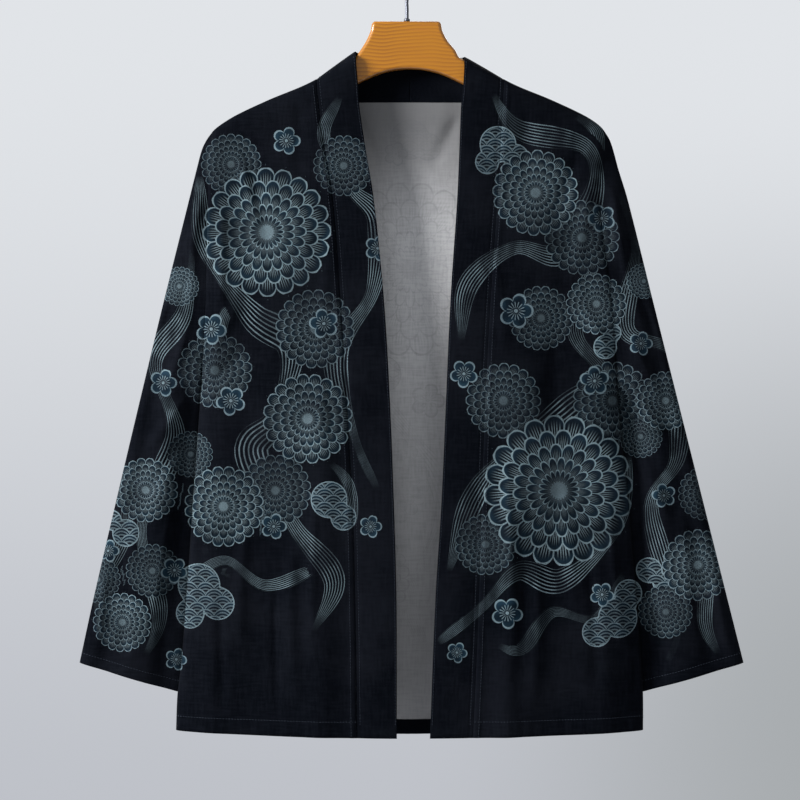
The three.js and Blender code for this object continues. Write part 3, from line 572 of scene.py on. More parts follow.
def clothPiece(name, points, layout, clothPlace, hemHeight, side, wall, materials, wallShare=None):
    rows, columns = points.shape[0] - 1, points.shape[1] - 1
    piece, column, row = numberedGrid(name, columns, rows, materials)
    mesh = piece.data
    mesh.vertices.foreach_set("co", (points[row, column] * mm).astype(np.float32).ravel())
    addPrint(mesh, layout, points[row, column], clothPlace[row, column], hemHeight[row, column])
    if wallShare is not None:
        group = piece.vertex_groups.new(name="wallShare")
        steps = np.rint(wallShare[row, column].astype(np.float32) * sheetForm["wallSteps"])
        for step in range(1, sheetForm["wallSteps"] + 1):
            group.add(np.flatnonzero(steps == step).tolist(), step / sheetForm["wallSteps"], "REPLACE")
    bm = bmesh.new()
    bm.from_mesh(mesh)
    bmesh.ops.remove_doubles(bm, verts=bm.verts, dist=sheetForm["weld"])
    if side > 0:
        bmesh.ops.reverse_faces(bm, faces=bm.faces)
    for face in bm.faces:
        face.smooth = True
    bm.to_mesh(mesh)
    bm.free()
    if wall:
        shell = piece.modifiers.new("wall", "SOLIDIFY")
        shell.thickness, shell.offset = wall * mm, -1
        shell.material_offset, shell.material_offset_rim = 1, 0
        shell.vertex_group = "wallShare" if wallShare is not None else ""
    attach(piece, "root")
    return piece


# Materials


class Field:  # a value in a shader, so that the shaders below can be written as sums
    def __init__(self, tree, socket):
        self.tree, self.socket = tree, socket

    def __add__(self, other):
        return calc("ADD", self, other)

    def __sub__(self, other):
        return calc("SUBTRACT", self, other)

    def __rsub__(self, other):
        return calc("SUBTRACT", other, self)

    def __mul__(self, other):
        return calc("MULTIPLY", self, other)

    def __truediv__(self, other):
        return calc("DIVIDE", self, other)

    def __gt__(self, other):
        return calc("GREATER_THAN", self, other)

    def __lt__(self, other):
        return calc("LESS_THAN", self, other)

    def __abs__(self):
        return calc("ABSOLUTE", self)


def feed(socket, value):
    if isinstance(value, Field):
        value.tree.links.new(value.socket, socket)
    else:
        socket.default_value = value


def calc(operation, *values):
    tree = next(value.tree for value in values if isinstance(value, Field))
    made = tree.nodes.new("ShaderNodeMath")
    made.operation = operation
    for socket, value in zip(made.inputs, values):
        feed(socket, value)
    return Field(tree, made.outputs[0])


def most(first, *others):
    for other in others:
        first = calc("MAXIMUM", first, other)
    return first


def fade(value, low, high, toLow=0.0, toHigh=1.0):  # a soft step, either way round
    made = value.tree.nodes.new("ShaderNodeMapRange")
    made.interpolation_type = "SMOOTHSTEP"
    for socket, given in zip(made.inputs, (value, low, high, toLow, toHigh)):
        feed(socket, given)
    return Field(value.tree, made.outputs[0])


def blend(share, first, second, kind="RGBA"):
    made = share.tree.nodes.new("ShaderNodeMix")
    made.data_type = kind
    firstAt, secondAt, madeAt = (6, 7, 2) if kind == "RGBA" else (2, 3, 0)
    feed(made.inputs[0], share)
    feed(made.inputs[firstAt], first)
    feed(made.inputs[secondAt], second)
    return Field(share.tree, made.outputs[madeAt])


def attribute(tree, name, output="Vector"):
    made = tree.nodes.new("ShaderNodeAttribute")
    made.attribute_name = name
    return Field(tree, made.outputs[output])


def objectPlace(tree):
    return Field(tree, tree.nodes.new("ShaderNodeTexCoord").outputs["Object"])


def separate(vector):
    made = vector.tree.nodes.new("ShaderNodeSeparateXYZ")
    feed(made.inputs[0], vector)
    return [Field(vector.tree, part) for part in made.outputs]


def noiseAt(vector, scale, stretch=(1, 1, 1), detail=2.0):
    turned = vector.tree.nodes.new("ShaderNodeMapping")
    turned.inputs["Scale"].default_value = stretch
    feed(turned.inputs["Vector"], vector)
    made = vector.tree.nodes.new("ShaderNodeTexNoise")
    made.inputs["Scale"].default_value, made.inputs["Detail"].default_value = scale, detail
    vector.tree.links.new(turned.outputs[0], made.inputs["Vector"])
    return Field(vector.tree, made.outputs["Fac"])


def colour(*parts):  # from the 0 to 255 of a picture to linear light
    return tuple(((c / 255 + 0.055) / 1.055) ** 2.4 if c > 10 else c / 255 / 12.92 for c in parts) + (1.0,)


def blank(name):
    material = bpy.data.materials.new(name)
    material.use_nodes = True
    material.node_tree.nodes.clear()
    return material, material.node_tree


def surface(tree, tone, rough, others, height=None, strength=0.0, depth=0.0):  # the last three are the bump's
    shader = tree.nodes.new("ShaderNodeBsdfPrincipled")
    for name, value in {"Base Color": tone, "Roughness": rough, **others}.items():
        feed(shader.inputs[name], value)
    if height:
        bump = tree.nodes.new("ShaderNodeBump")
        bump.inputs["Strength"].default_value, bump.inputs["Distance"].default_value = strength, depth
        feed(bump.inputs["Height"], height)
        tree.links.new(bump.outputs[0], shader.inputs["Normal"])
    made = tree.nodes.new("ShaderNodeOutputMaterial")
    tree.links.new(shader.outputs[0], made.inputs["Surface"])


def overlapping(phase, row, rise, roundness):  # rows of overlapping petals or waves
    def tipOf(ofRow):
        turned = phase + calc("MODULO", ofRow, 2.0) * (math.pi / 2)
        crest = calc("POWER", abs(calc("COSINE", turned)), roundness)
        return ofRow + 1.0 - (1.0 - crest) * rise, turned

    first = calc("FLOOR", row)
    tip, _ = tipOf(first)
    own = first + (row > tip)
    ownTip, turned = tipOf(own)
    return {"own": own, "edge": ownTip - row, "outline": abs(row - tip),
            "side": abs(calc("COSINE", turned)), "across": calc("SINE", turned)}


def lines(value, halfWidth, soft):  # fine lines at whole values
    part = abs(calc("FRACT", value + 0.5) - 0.5)
    return fade(part, halfWidth + soft, halfWidth)


# In shares of the head's radius, of a row of petals or of a petal's width; ink strengths from 0 to 1
headStyle = {"rows": 6.0, "rowSpread": 0.85, "petals": 10.0, "rise": 0.75, "roundness": 0.55,
             "line": (0.12, 0.05), "side": (0.17, 0.07), "sideInk": 0.8, "hatch": 2.6, "hatchFrom": 0.25,
             "hatchLine": (0.12, 0.14), "hatchInk": 0.75, "heart": (0.12, 0.1), "heartInk": 0.7,
             "rim": (1.06, 1.04), "tintTo": 0.9, "tint": 0.5}
blossomStyle = {"petals": 5, "roundness": 0.6, "petalLength": 0.42, "notch": 0.56, "line": (0.085, 0.04),
                "lineAt": 0.95, "stamens": 15, "stamenLine": (0.09, 0.1), "from": (0.14, 0.2),
                "to": (0.55, 0.45), "eye": (0.13, 0.09), "edge": 1.02, "tintFrom": 0.25}


def manyPetals(away, angle):  # cover, ink and tint of a large head
    style = headStyle
    row = calc("POWER", away, style["rowSpread"]) * style["rows"]
    petals = overlapping(angle * style["petals"], row, style["rise"], style["roundness"])
    outline = fade(petals["outline"], *style["line"])
    sides = fade(petals["side"], *style["side"]) * style["sideInk"]
    hatch = lines(petals["across"] * style["hatch"], *style["hatchLine"])
    hatch = hatch * fade(petals["edge"], style["hatchFrom"], 1.0)
    heart = fade(away, *style["heart"])
    ink = most(outline, sides, hatch * style["hatchInk"]) * (1.0 - heart)
    rim = fade(away, *style["rim"]) * (petals["own"] < style["rows"] + 0.5) * (outline > 0.3)
    cover = most(petals["own"] < style["rows"] - 0.5, rim)
    tint = fade(petals["edge"], style["tintTo"], 0.0) * style["tint"]
    return cover, most(ink, heart * style["heartInk"]), tint


def fivePetals(away, angle):  # cover, ink and tint of a small blossom
    style = blossomStyle
    lobe = abs(calc("COSINE", angle * (style["petals"] / 2)))
    share = away / (calc("POWER", lobe, style["roundness"]) * style["petalLength"] + style["notch"])
    petalLine = fade(abs(share - style["lineAt"]), *style["line"])
    stamens = lines(angle * (style["stamens"] / 2 / math.pi), *style["stamenLine"])
    stamens = stamens * (fade(away, *style["from"]) * fade(away, *style["to"]))
    ink = most(petalLine, stamens, fade(away, *style["eye"]))
    return share < style["edge"], ink, fade(share, style["tintFrom"], 1.0, style["tintFrom"], 1.0)


def headInk(tree, layer):  # cover, ink and tint of one layer of flower heads
    headX, headY, kind = separate(attribute(tree, layer))
    mask = attribute(tree, layer + "Mask", "Fac") > 0.99
    away = calc("SQRT", headX * headX + headY * headY)
    angle = calc("ARCTAN2", headY, headX)
    small = kind > 0.5
    both = zip(manyPetals(away, angle), fivePetals(away, angle))
    cover, ink, tint = [blend(small, large, blossom, "FLOAT") for large, blossom in both]
    return mask * cover, ink, tint


streamStyle = {"lines": 3.5, "wobble": 0.6, "wobbleScale": 26.0, "line": (0.1, 0.1), "edge": (1.06, 1.02),
               "fadeScale": 38.0, "faded": 0.25}
waveStyle = {"wide": 0.019, "high": 0.0075, "rise": 0.95, "roundness": 0.6, "line": (0.16, 0.08),
             "lineInk": 0.8, "echoes": 2.0, "echoLine": (0.14, 0.14), "echoInk": 0.6, "border": (0.1, 0.05),
             "edge": -0.05, "from": 2.0}  # in metres, counted from a height below the hem
wear = {"scale": 15.0, "least": 0.5, "gritScale": 900.0, "gritLeast": 0.6, "tintScale": 60.0,
        "tintLeast": 0.35}


def printInk(tree):  # ink lines and tint of the whole print
    place = attribute(tree, "printPlace")
    _, share, strong = separate(attribute(tree, "stream"))
    wobble = noiseAt(place, streamStyle["wobbleScale"], detail=1.0)
    ink = lines(share * streamStyle["lines"] + wobble * streamStyle["wobble"], *streamStyle["line"])
    patchy = noiseAt(place, streamStyle["fadeScale"], (1, 0.6, 1))
    strength = fade(patchy, 0.36, 0.62, streamStyle["faded"], 1.0)
    ink = ink * (strength * strong) * (attribute(tree, "streamMask", "Fac") > 0.99)
    ink = ink * fade(abs(share), *streamStyle["edge"])

    patch = attribute(tree, "patch", "Fac")
    placeX, placeZ, _ = separate(place)
    row = (placeZ + waveStyle["from"]) * (1 / waveStyle["high"])
    phase = placeX * (math.pi / waveStyle["wide"])
    waves = overlapping(phase, row, waveStyle["rise"], waveStyle["roundness"])
    echoes = lines(waves["edge"] * waveStyle["echoes"], *waveStyle["echoLine"]) * waveStyle["echoInk"]
    arcs = most(fade(waves["outline"], *waveStyle["line"]), echoes) * waveStyle["lineInk"]
    onPatch = patch > waveStyle["edge"]
    ink = blend(onPatch, ink, most(arcs, fade(abs(patch), *waveStyle["border"])), "FLOAT")
    tint = onPatch * fade(waves["edge"], 0.0, 1.2, 0.6, 0.1)

    for layer, weight in (("underHead", 0.55), ("head", 1.0)):
        cover, headLines, headTint = headInk(tree, layer)
        ink = blend(cover, ink, headLines * weight, "FLOAT")
        tint = blend(cover, tint, headTint * weight, "FLOAT")
    worn = fade(noiseAt(place, wear["scale"], detail=3.0), 0.3, 0.66, wear["least"], 1.0)
    onThreads = noiseAt(attribute(tree, "clothPlace"), wear["gritScale"], detail=1.0)
    grit = fade(onThreads, 0.3, 0.6, wear["gritLeast"], 1.0)
    uneven = fade(noiseAt(place, wear["tintScale"], detail=3.0), 0.3, 0.7, wear["tintLeast"], 1.0)
    return ink * (worn * grit), tint * (uneven * worn)


cloth = {
    "navy": colour(1.4, 2.8, 6.5), "navyLight": colour(8.5, 10.5, 15.5), "navyDark": colour(0.8, 1.6, 4),
    "ink": colour(91, 106, 112), "tint": colour(24, 44, 56),
    # the darker greys for the top and the bottom are painted shade on the grey inside
    "greyPaintedShadeTop": colour(90, 90, 91), "grey": colour(166, 166, 167), "greyPaintedShadeLow": colour(112, 112, 113),
    "greySlub": colour(78, 78, 81), "ghost": colour(70, 72, 76),
    "thread": (colour(26, 30, 38), colour(58, 63, 72)),
    "rough": 0.95, "shine": {"Specular IOR Level": 0.03}, "bump": (0.5, 0.0003),
    "slubScale": 420.0, "slubLong": 0.12, "weave": 0.0009, "weaveShare": 0.3,
}


def weave(tree):  # slubs along and across, and the weave itself
    place = attribute(tree, "clothPlace")
    ways = ((1, cloth["slubLong"], 1), (cloth["slubLong"], 1, 1))
    warp, weft = [noiseAt(place, cloth["slubScale"], way) * 0.5 for way in ways]
    slub = warp + weft
    x, z, _ = separate(place)
    over, under = [calc("SINE", way * (2 * math.pi / cloth["weave"])) for way in (x, z)]
    return slub, over * under * cloth["weaveShare"] + slub


def printedCotton():
    material, tree = blank("printedCotton")
    slub, height = weave(tree)
    broad = fade(noiseAt(attribute(tree, "printPlace"), 9.0, detail=3.0), 0.38, 0.64)
    ground = blend(broad, cloth["navy"], cloth["navyLight"])
    ground = blend(fade(slub, 0.35, 0.65, 0.0, 0.42), ground, cloth["navyLight"])
    ground = blend(fade(slub, 0.62, 0.3, 0.0, 0.5), ground, cloth["navyDark"])
    ink, tint = printInk(tree)
    tone = blend(ink * 0.9, blend(tint * 0.8, ground, cloth["tint"]), cloth["ink"])
    surface(tree, tone, cloth["rough"], cloth["shine"], height, *cloth["bump"])
    return material


wrong = {"greyPaintedShadeLow": (-0.3, -0.96), "greyPaintedShadeTop": (-0.33, -0.18), "inkShows": 0.22, "tintShows": 0.15,
         "hem": (0.0172, 0.0164)}  # heights in metres: where the painted shade fades in at the bottom and at the top of the grey, and above the hem's fold


def wrongSide():  # grey with painted shade, darker at its top and at its bottom, a ghost of the print, and the printed side turned up at the hem
    material, tree = blank("wrongSide")
    slub, height = weave(tree)
    _, placeZ, _ = separate(attribute(tree, "printPlace"))
    # painted shade: the grey darkens towards the bottom of the inside and towards its top
    ground = blend(fade(placeZ, *wrong["greyPaintedShadeLow"]), cloth["grey"], cloth["greyPaintedShadeLow"])
    ground = blend(fade(placeZ, *wrong["greyPaintedShadeTop"]), ground, cloth["greyPaintedShadeTop"])
    ground = blend(fade(slub, 0.62, 0.3, 0.0, 0.25), ground, cloth["greySlub"])
    ink, tint = printInk(tree)
    ghosted = blend(ink * wrong["inkShows"] + tint * wrong["tintShows"], ground, cloth["ghost"])
    turnedUp = fade(attribute(tree, "hemHeight", "Fac"), *wrong["hem"])
    tone = blend(turnedUp, ghosted, cloth["navy"])
    surface(tree, tone, cloth["rough"], cloth["shine"], height, *cloth["bump"])
    return material


def threadMaterial():
    material, tree = blank("thread")
    twist = noiseAt(objectPlace(tree), 1800.0, detail=1.0)
    surface(tree, blend(twist, *cloth["thread"]), cloth["rough"], cloth["shine"], twist, *cloth["bump"])
    return material


timber = {"base": (colour(128, 79, 1), colour(142, 91, 3)), "late": colour(92, 47, 2),
          # under is painted shade for the faces that turn downward
          "under": colour(68, 36, 2), "pore": colour(132, 76, 18), "bend": 0.016, "fineBend": 0.0016,
          "tilt": 0.7, "rings": 240.0, "rough": 0.42,
          "shine": {"Specular IOR Level": 0.25, "Coat Weight": 0.35, "Coat Roughness": 0.12},
          "bump": (0.25, 0.0002)}


def woodMaterial():
    material, tree = blank("varnishedWood")
    place = objectPlace(tree)
    warp = noiseAt(place, 14.0, (0.9, 1, 0.7))
    fineWarp = noiseAt(place, 60.0, (0.5, 1, 1))
    _, y, z = separate(place)
    bent = z + warp * timber["bend"] + fineWarp * timber["fineBend"] + y * timber["tilt"]
    rings = calc("FRACT", bent * timber["rings"])
    late = fade(rings, 0.2, 0.9) * fade(rings, 1.0, 0.92)
    pores = noiseAt(place, 300.0, (0.07, 1, 1))
    tone = blend(noiseAt(place, 22.0, (0.5, 1, 1)), *timber["base"])
    tone = blend(late * fade(warp, 0.3, 0.7, 0.25, 0.6), tone, timber["late"])
    # painted shade: faces turned downward are darkened towards the under colour, giving the dark lower rim
    _, _, upward = separate(Field(tree, tree.nodes.new("ShaderNodeNewGeometry").outputs["Normal"]))
    tone = blend(fade(upward, -0.25, -0.75, 0.0, 0.7), tone, timber["under"])
    tone = blend(fade(pores, 0.62, 0.72, 0.0, 0.35), tone, timber["pore"])
    surface(tree, tone, timber["rough"], timber["shine"], pores - late * 0.4, *timber["bump"])
    return material


wireSteel = {"tones": (colour(52, 54, 60), colour(88, 90, 96)), "rough": (0.36, 0.52), "bump": (0.2, 0.00005)}


def steelMaterial():
    material, tree = blank("drawnSteel")
    place = objectPlace(tree)
    drawn = noiseAt(place, 900.0, (1, 1, 0.05))
    tone = blend(noiseAt(place, 60.0, detail=3.0), *wireSteel["tones"])
    rough = fade(drawn, 0.3, 0.7, *wireSteel["rough"])
    surface(tree, tone, rough, {"Metallic": 1.0}, drawn, *wireSteel["bump"])
    return material


cotton, inside, thread = printedCotton(), wrongSide(), threadMaterial()
wood, steel = woodMaterial(), steelMaterial()
print("the cloth, wood, steel and thread are ready")


def hungPlace(points):  # where the cloth's threads run on a flat panel
    return np.stack([points[..., 0], points[..., 2], 0 * points[..., 0]], -1)


def aboveHem(points):
    return (points[..., 2] - points[-1:, :, 2]) * mm


def dropsOf(rows):  # close rows over the shoulder, wider ones below
    t = np.linspace(0, 1, rows + 1)
    return t * (0.35 + 0.65 * t)


def hemRow(points, height):  # the grid row nearest a height above the hem
    middle = points[:, points.shape[1] // 2, 2]
    return int(np.argmin(np.abs(middle - middle[-1] - height)))


stitches = []  # runs of points and the way out at each
frontGrid = {"columns": 96, "rows": 270, "topstitchColumn": 3, "topstitchFrom": 6}
for side in (-1, 1):
    name = "front_" + sideColumn(side)
    place, drop = np.meshgrid(np.linspace(0, 1, frontGrid["columns"] + 1), dropsOf(frontGrid["rows"]))
    points = frontPoint(side, place, drop)
    front = clothPiece(name + "_cloth", points, frontPrint, hungPlace(points), aboveHem(points),
                       side, garment["wall"], [cotton, inside])
    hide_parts(name)
    outward = normalsOf(points) * -side
    row = hemRow(points, garment["hemDepth"])
    stitches.append((points[row], outward[row]))
    along = (slice(frontGrid["topstitchFrom"], None), frontGrid["topstitchColumn"])
    stitches.append((points[along], outward[along]))
print("fronts are hung")

backGrid = {"columns": 200, "rows": 230}
share, drop = np.meshgrid(np.linspace(-1, 1, backGrid["columns"] + 1), dropsOf(backGrid["rows"]))
points = backPoint(share, drop)
back = clothPiece("back_cloth", points, backPrint, hungPlace(points), aboveHem(points),
                  -1, garment["wall"], [cotton, inside])
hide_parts("back")
row = hemRow(points, garment["hemDepth"])
stitches.append((points[row], normalsOf(points)[row]))
print("back is hung")

sleeveGrid = {"columns": 150, "upperRows": 94, "lowerRows": 116, "thinnest": 0.05, "wallInGap": 0.4}
for side in (-1, 1):
    name = "sleeve_" + sideColumn(side)
    upper = np.linspace(0, 1, sleeveGrid["upperRows"] + 1)
    lower = np.linspace(0, 1, sleeveGrid["lowerRows"] + 1)[1:]
    downs = np.concatenate([upper * (0.5 + 0.5 * upper), 1 + lower])
    around, down = np.meshgrid(np.linspace(0, 1, sleeveGrid["columns"] + 1), downs)
    points, across = sleevePoint(side, around, down)
    where = np.stack([across, points[..., 2], 0 * across], -1)
    between = np.linalg.norm(points - points[:, ::-1], axis=-1)  # thin where the two layers close up
    wallShare = np.clip(sleeveGrid["wallInGap"] * between / garment["wall"], sleeveGrid["thinnest"], 1)
    sleeve = clothPiece(name + "_cloth", points, frontPrint, where, aboveHem(points),
                        side, garment["wall"], [cotton, inside], wallShare)
    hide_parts(name)
    outward = normalsOf(points) * -side
    row = hemRow(points, garment["cuffDepth"])
    stitches.append((points[row, 2:-2], outward[row, 2:-2]))
print("sleeves are hung")

# The band is a flattened tube; its edge lies just under the front's
bandGrid = {"round": 64, "rowsUp": 250, "rowsBehind": 50, "faceColumns": 24, "wide": 1.022, "under": 0.023,
            "flatness": 0.35, "flatWidth": 46, "flatLength": 740, "nearSeam": 2, "nearEdge": 23, "top": 249}
for side in (-1, 1):
    name = "neckband_" + sideColumn(side)
    behind = 1 + np.linspace(0, 1, bandGrid["rowsBehind"] + 1)[1:]
    travel = np.concatenate([np.linspace(0, 1, bandGrid["rowsUp"]) ** 0.9, behind])
    around = np.linspace(0, 2 * math.pi, bandGrid["round"] + 1)
    place, up = np.meshgrid((1 - np.cos(around)) / 2, travel)
    middle = bandFace(side, place * bandGrid["wide"] - bandGrid["under"], up)
    face = bandFace(side, *np.meshgrid(np.linspace(0, 1, bandGrid["faceColumns"] + 1), travel))
    outFace = normalsOf(face) * -side
    column = place * bandGrid["faceColumns"]
    low = np.clip(np.floor(column).astype(int), 0, bandGrid["faceColumns"] - 1)
    rowIndex = np.arange(len(travel))[:, None]
    outward = mixed(outFace[rowIndex, low], outFace[rowIndex, low + 1], (column - low)[..., None])
    swell = np.sign(np.sin(around)) * np.abs(np.sin(around)) ** bandGrid["flatness"]
    points = middle + outward * ((swell - 1) * garment["bandWall"] / 2)[None, :, None]
    where = np.stack([place * bandGrid["flatWidth"], up * bandGrid["flatLength"], 0 * place], -1)
    band = clothPiece(name + "_cloth", points, frontPrint, where, np.ones_like(place), side, 0, [cotton])
    bm = bmesh.new()
    bm.from_mesh(band.data)
    bmesh.ops.holes_fill(bm, edges=[edge for edge in bm.edges if edge.is_boundary], sides=0)
    bm.to_mesh(band.data)
    bm.free()
    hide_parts(name)
    stitches.append((face[3:, bandGrid["nearSeam"]], outFace[3:, bandGrid["nearSeam"]]))
    along = (slice(3, bandGrid["top"]), bandGrid["nearEdge"])
    stitches.append((face[along], outFace[along]))
print("neckband is on")

sewing = {"pitch": 3.3, "long": 2.3, "thick": 0.55, "ahead": 0.4, "proud": 0.0002}  # proud in metres


def stitchRun(points, outward):  # one run of stitches, each a small flat sphere along the seam
    bm = bmesh.new()
    length = np.concatenate([[0], np.cumsum(np.linalg.norm(np.diff(points, axis=0), axis=1))])
    at = np.arange(sewing["pitch"] / 2, length[-1], sewing["pitch"])

    def along(values, start):
        return np.stack([np.interp(start, length, values[:, k]) for k in range(3)], -1)

    sized = Matrix.Diagonal([sewing[way] / 2 * mm for way in ("long", "thick", "thick")] + [1])
    for spot, ahead, out in zip(along(points, at), along(points, at + sewing["ahead"]), along(outward, at)):
        zAxis = Vector(out).normalized()
        yAxis = zAxis.cross(Vector(ahead) - Vector(spot)).normalized()
        turned = Matrix((yAxis.cross(zAxis), yAxis, zAxis)).transposed().to_4x4()
        place = Matrix.Translation(Vector(spot) * mm + zAxis * sewing["proud"])
        bmesh.ops.create_uvsphere(bm, u_segments=5, v_segments=3, radius=1, matrix=place @ turned @ sized)
    run = bpy.data.meshes.new("stitch_run")
    bm.to_mesh(run)
    bm.free()
    return run


bm = bmesh.new()
for points, outward in stitches:
    run = stitchRun(points, outward)
    bm.from_mesh(run)
    bpy.data.meshes.remove(run)
sewn = objectFrom(bm, "seam_stitches", thread)
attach(sewn, "root")
print("seams are stitched")

board = {
    "thick": 12, "round": 5.2, "headTop": -75, "headFrom": -76, "headCorner": 1.6, "headFoot": -115,
    "armOut": 197, "armRound": 8, "armLow": -208,
    "head": {"z": [-75, -77, -86, -97.5, -107, -115],
             "left": [39.5, 42.2, 44.2, 49.3, 55.3, 61], "right": [32, 34.4, 36.6, 42.6, 50.5, 54.5]},
    "foot": {"out": [-30, 0, 30, 58, 80, 105, 160, 197],
             "z": [-133, -128.8, -133, -145, -157.5, -171, -194, -208]},
    "top": {"out": [76, 90, 105, 132, 160, 183, 197], "left": [-123, -133, -144.5, -154.5, -167, -178, -186],
            "right": [-127, -136, -144.5, -154.5, -167, -178, -186]},
}


def boardHalf(side):  # from the head's top out to the arm's end and back below to the middle
    head = through(board["head"], "z", sideColumn(side))
    points = [(side * (float(head(board["headFrom"])) - board["headCorner"]), board["headTop"])]
    heights = np.linspace(board["headFrom"], board["headFoot"], 26)
    points += [(side * float(head(z)), float(z)) for z in heights]
    top = through({"out": [board["head"][sideColumn(side)][-1]] + board["top"]["out"],
                   "z": [board["headFoot"]] + board["top"][sideColumn(side)]}, "out", "z")
    outs = np.linspace(board["head"][sideColumn(side)][-1], board["armOut"], 34)[1:]
    points += [(side * out, float(top(out))) for out in outs]
    armTop = float(top(board["armOut"]))
    middle, half = (armTop + board["armLow"]) / 2, (armTop - board["armLow"]) / 2
    points += [(side * (board["armOut"] + board["armRound"] * math.cos(a)), middle + half * math.sin(a))
               for a in np.linspace(1.2, -1.2, 9)]
    foot = through(board["foot"], "out", "z")
    return points + [(side * out, float(foot(out))) for out in np.linspace(board["armOut"], 2, 60)]


bm = bmesh.new()
outline = boardHalf(1) + boardHalf(-1)[::-1]
corners = [bm.verts.new((x * mm, -board["thick"] / 2 * mm, z * mm)) for x, z in outline]
made = bmesh.ops.extrude_face_region(bm, geom=[bm.faces.new(corners)])
extruded = [part for part in made["geom"] if isinstance(part, bmesh.types.BMVert)]
bmesh.ops.translate(bm, vec=(0, board["thick"] * mm, 0), verts=extruded)
bmesh.ops.recalc_face_normals(bm, faces=bm.faces)
rims = [edge for edge in bm.edges if abs(edge.verts[0].co.y - edge.verts[1].co.y) < 1e-6]
bmesh.ops.bevel(bm, geom=rims, offset=board["round"] * mm, segments=4, profile=0.5, affect="EDGES",
                clamp_overlap=True, material=-1)
for face in bm.faces:
    face.smooth = abs(face.normal.y) < 0.999
hanger = objectFrom(bm, "hanger_board", wood)
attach(hanger, "root")
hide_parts("hanger_wood")

hook = {"wire": 2.0, "stemX": -3.4, "foot": -93, "top": -51, "stemPoints": 6,
        "neck": [(-0.8, -44.5), (4.8, -38)], "crook": 19, "crookZ": -17, "from": -50, "to": 206, "step": 25.5,
        "steps": 170, "tip": (0.93, 0.78, 0.5)}
way = [(hook["stemX"], z) for z in np.linspace(hook["foot"], hook["top"], hook["stemPoints"])] + hook["neck"]
for turn in np.radians(np.arange(hook["from"], hook["to"], hook["step"])):
    way.append((hook["crook"] * math.cos(turn), hook["crookZ"] + hook["crook"] * math.sin(turn)))
path = smoothPath(way, hook["steps"])
curve = bpy.data.curves.new("hook_wire", "CURVE")
curve.dimensions, curve.use_fill_caps = "3D", True
curve.bevel_depth, curve.bevel_resolution = hook["wire"] * mm, 5
spline = curve.splines.new("POLY")
spline.points.add(len(path) - 1)
for i, (x, z) in enumerate(path):
    spline.points[i].co = (x * mm, 0, z * mm, 1)
for point, radius in zip(spline.points[-len(hook["tip"]):], hook["tip"]):
    point.radius = radius
drawn = bpy.data.objects.new("hook_draft", curve)
bpy.context.collection.objects.link(drawn)
bpy.context.view_layer.update()
mesh = bpy.data.meshes.new_from_object(drawn.evaluated_get(bpy.context.evaluated_depsgraph_get()))
bpy.data.objects.remove(drawn)
mesh.polygons.foreach_set("use_smooth", [True] * len(mesh.polygons))
mesh.materials.clear()
mesh.materials.append(steel)
wire = bpy.data.objects.new("hook_wire", mesh)
bpy.context.collection.objects.link(wire)
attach(wire, "root")
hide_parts("hook")

ring = {"radius": [2.1, 3.2, 3.4, 3.4, 3.05, 2.6, 2.1],
        "z": [-74.7, -74.7, -74.4, -72.8, -72.1, -71.7, -71.8]}
bm = bmesh.new()
profile = zip(ring["radius"], ring["z"])
verts = [bm.verts.new(((hook["stemX"] + radius) * mm, 0, z * mm)) for radius, z in profile]
edges = [bm.edges.new(pair) for pair in zip(verts, verts[1:] + verts[:1])]
bmesh.ops.spin(bm, geom=verts + edges, cent=(hook["stemX"] * mm, 0, 0), axis=(0, 0, 1), angle=2 * math.pi,
               steps=40, use_merge=True)
bmesh.ops.remove_doubles(bm, verts=bm.verts, dist=1e-6)
bmesh.ops.recalc_face_normals(bm, faces=bm.faces)
for face in bm.faces:
    face.smooth = True
collar = objectFrom(bm, "hook_ferrule", steel)
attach(collar, "root")
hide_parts("ferrule")
print("hanger is made")

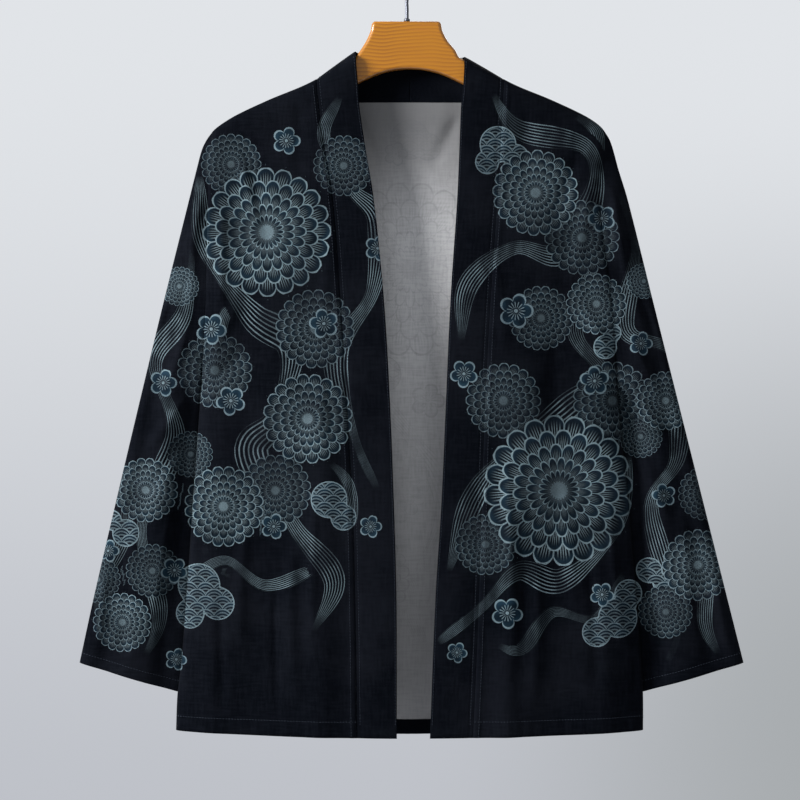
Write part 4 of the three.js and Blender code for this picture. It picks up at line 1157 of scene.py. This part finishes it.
camera = {"lens": 135, "sensor": 36, "frameWidth": 0.8945, "aimX": -0.0112, "aimZ": -0.4992, "frontY": -0.008}
lens = bpy.data.cameras.new("camera")
lens.lens, lens.sensor_width, lens.clip_end = camera["lens"], camera["sensor"], 50
cameraObject = bpy.data.objects.new("camera", lens)
distance = camera["frameWidth"] * camera["lens"] / camera["sensor"]
cameraObject.location = (camera["aimX"], camera["frontY"] - distance, camera["aimZ"])
cameraObject.rotation_euler = (math.pi / 2, 0, 0)
bpy.context.collection.objects.link(cameraObject)
bpy.context.scene.camera = cameraObject

aim = Vector((0, 0, -0.5))
lights = {  # place, size, watts and colour
    "key": ((-2.8, -1.3, 0.5), 1.3, 350, (1, 1, 1)),
    "fill": ((1.9, -2.4, -0.2), 1.8, 12, (0.95, 0.97, 1)),
    "behind": ((0.6, 2.2, 0.6), 1.6, 30, (1, 1, 1)),
}
for name, (at, size, watts, tone) in lights.items():
    light = bpy.data.lights.new(name, "AREA")
    light.shape, light.size, light.energy, light.color = "DISK", size, watts, tone
    lamp = bpy.data.objects.new(name, light)
    lamp.location = at
    lamp.rotation_euler = (aim - Vector(at)).to_track_quat("-Z", "Y").to_euler()
    bpy.context.collection.objects.link(lamp)

backdrop = {"low": colour(190, 193, 200), "high": colour(225, 228, 232), "from": -0.15, "to": 0.13,
            "shade": colour(168, 172, 175), "paper": colour(206, 208, 212)}
world = bpy.data.worlds.new("studio")
bpy.context.scene.world = world
world.use_nodes = True
tree = world.node_tree
tree.nodes.clear()
looking = Field(tree, tree.nodes.new("ShaderNodeTexCoord").outputs["Generated"])
lookX, _, lookZ = separate(looking)
sky = blend(fade(lookZ, backdrop["from"], backdrop["to"]), backdrop["low"], backdrop["high"])
lowRight = fade(lookX, 0.0, 0.14) * fade(lookZ, 0.1, -0.12)
sky = blend(lowRight, sky, backdrop["shade"])
light = tree.nodes.new("ShaderNodeBackground")
feed(light.inputs["Color"], sky)
light.inputs["Strength"].default_value = 1.0
made = tree.nodes.new("ShaderNodeOutputWorld")
tree.links.new(light.outputs[0], made.inputs["Surface"])
bpy.context.scene.view_settings.view_transform = "Standard"

bm = bmesh.new()
bmesh.ops.create_grid(bm, x_segments=24, y_segments=24, size=1.6)
bmesh.ops.translate(bm, vec=(0, 0, -1.9), verts=bm.verts)
paper, tree = blank("paper")
surface(tree, backdrop["paper"], 0.9, {})
floor = objectFrom(bm, "floor", paper)
print("camera, light and floor are set")

print("the model is whole")
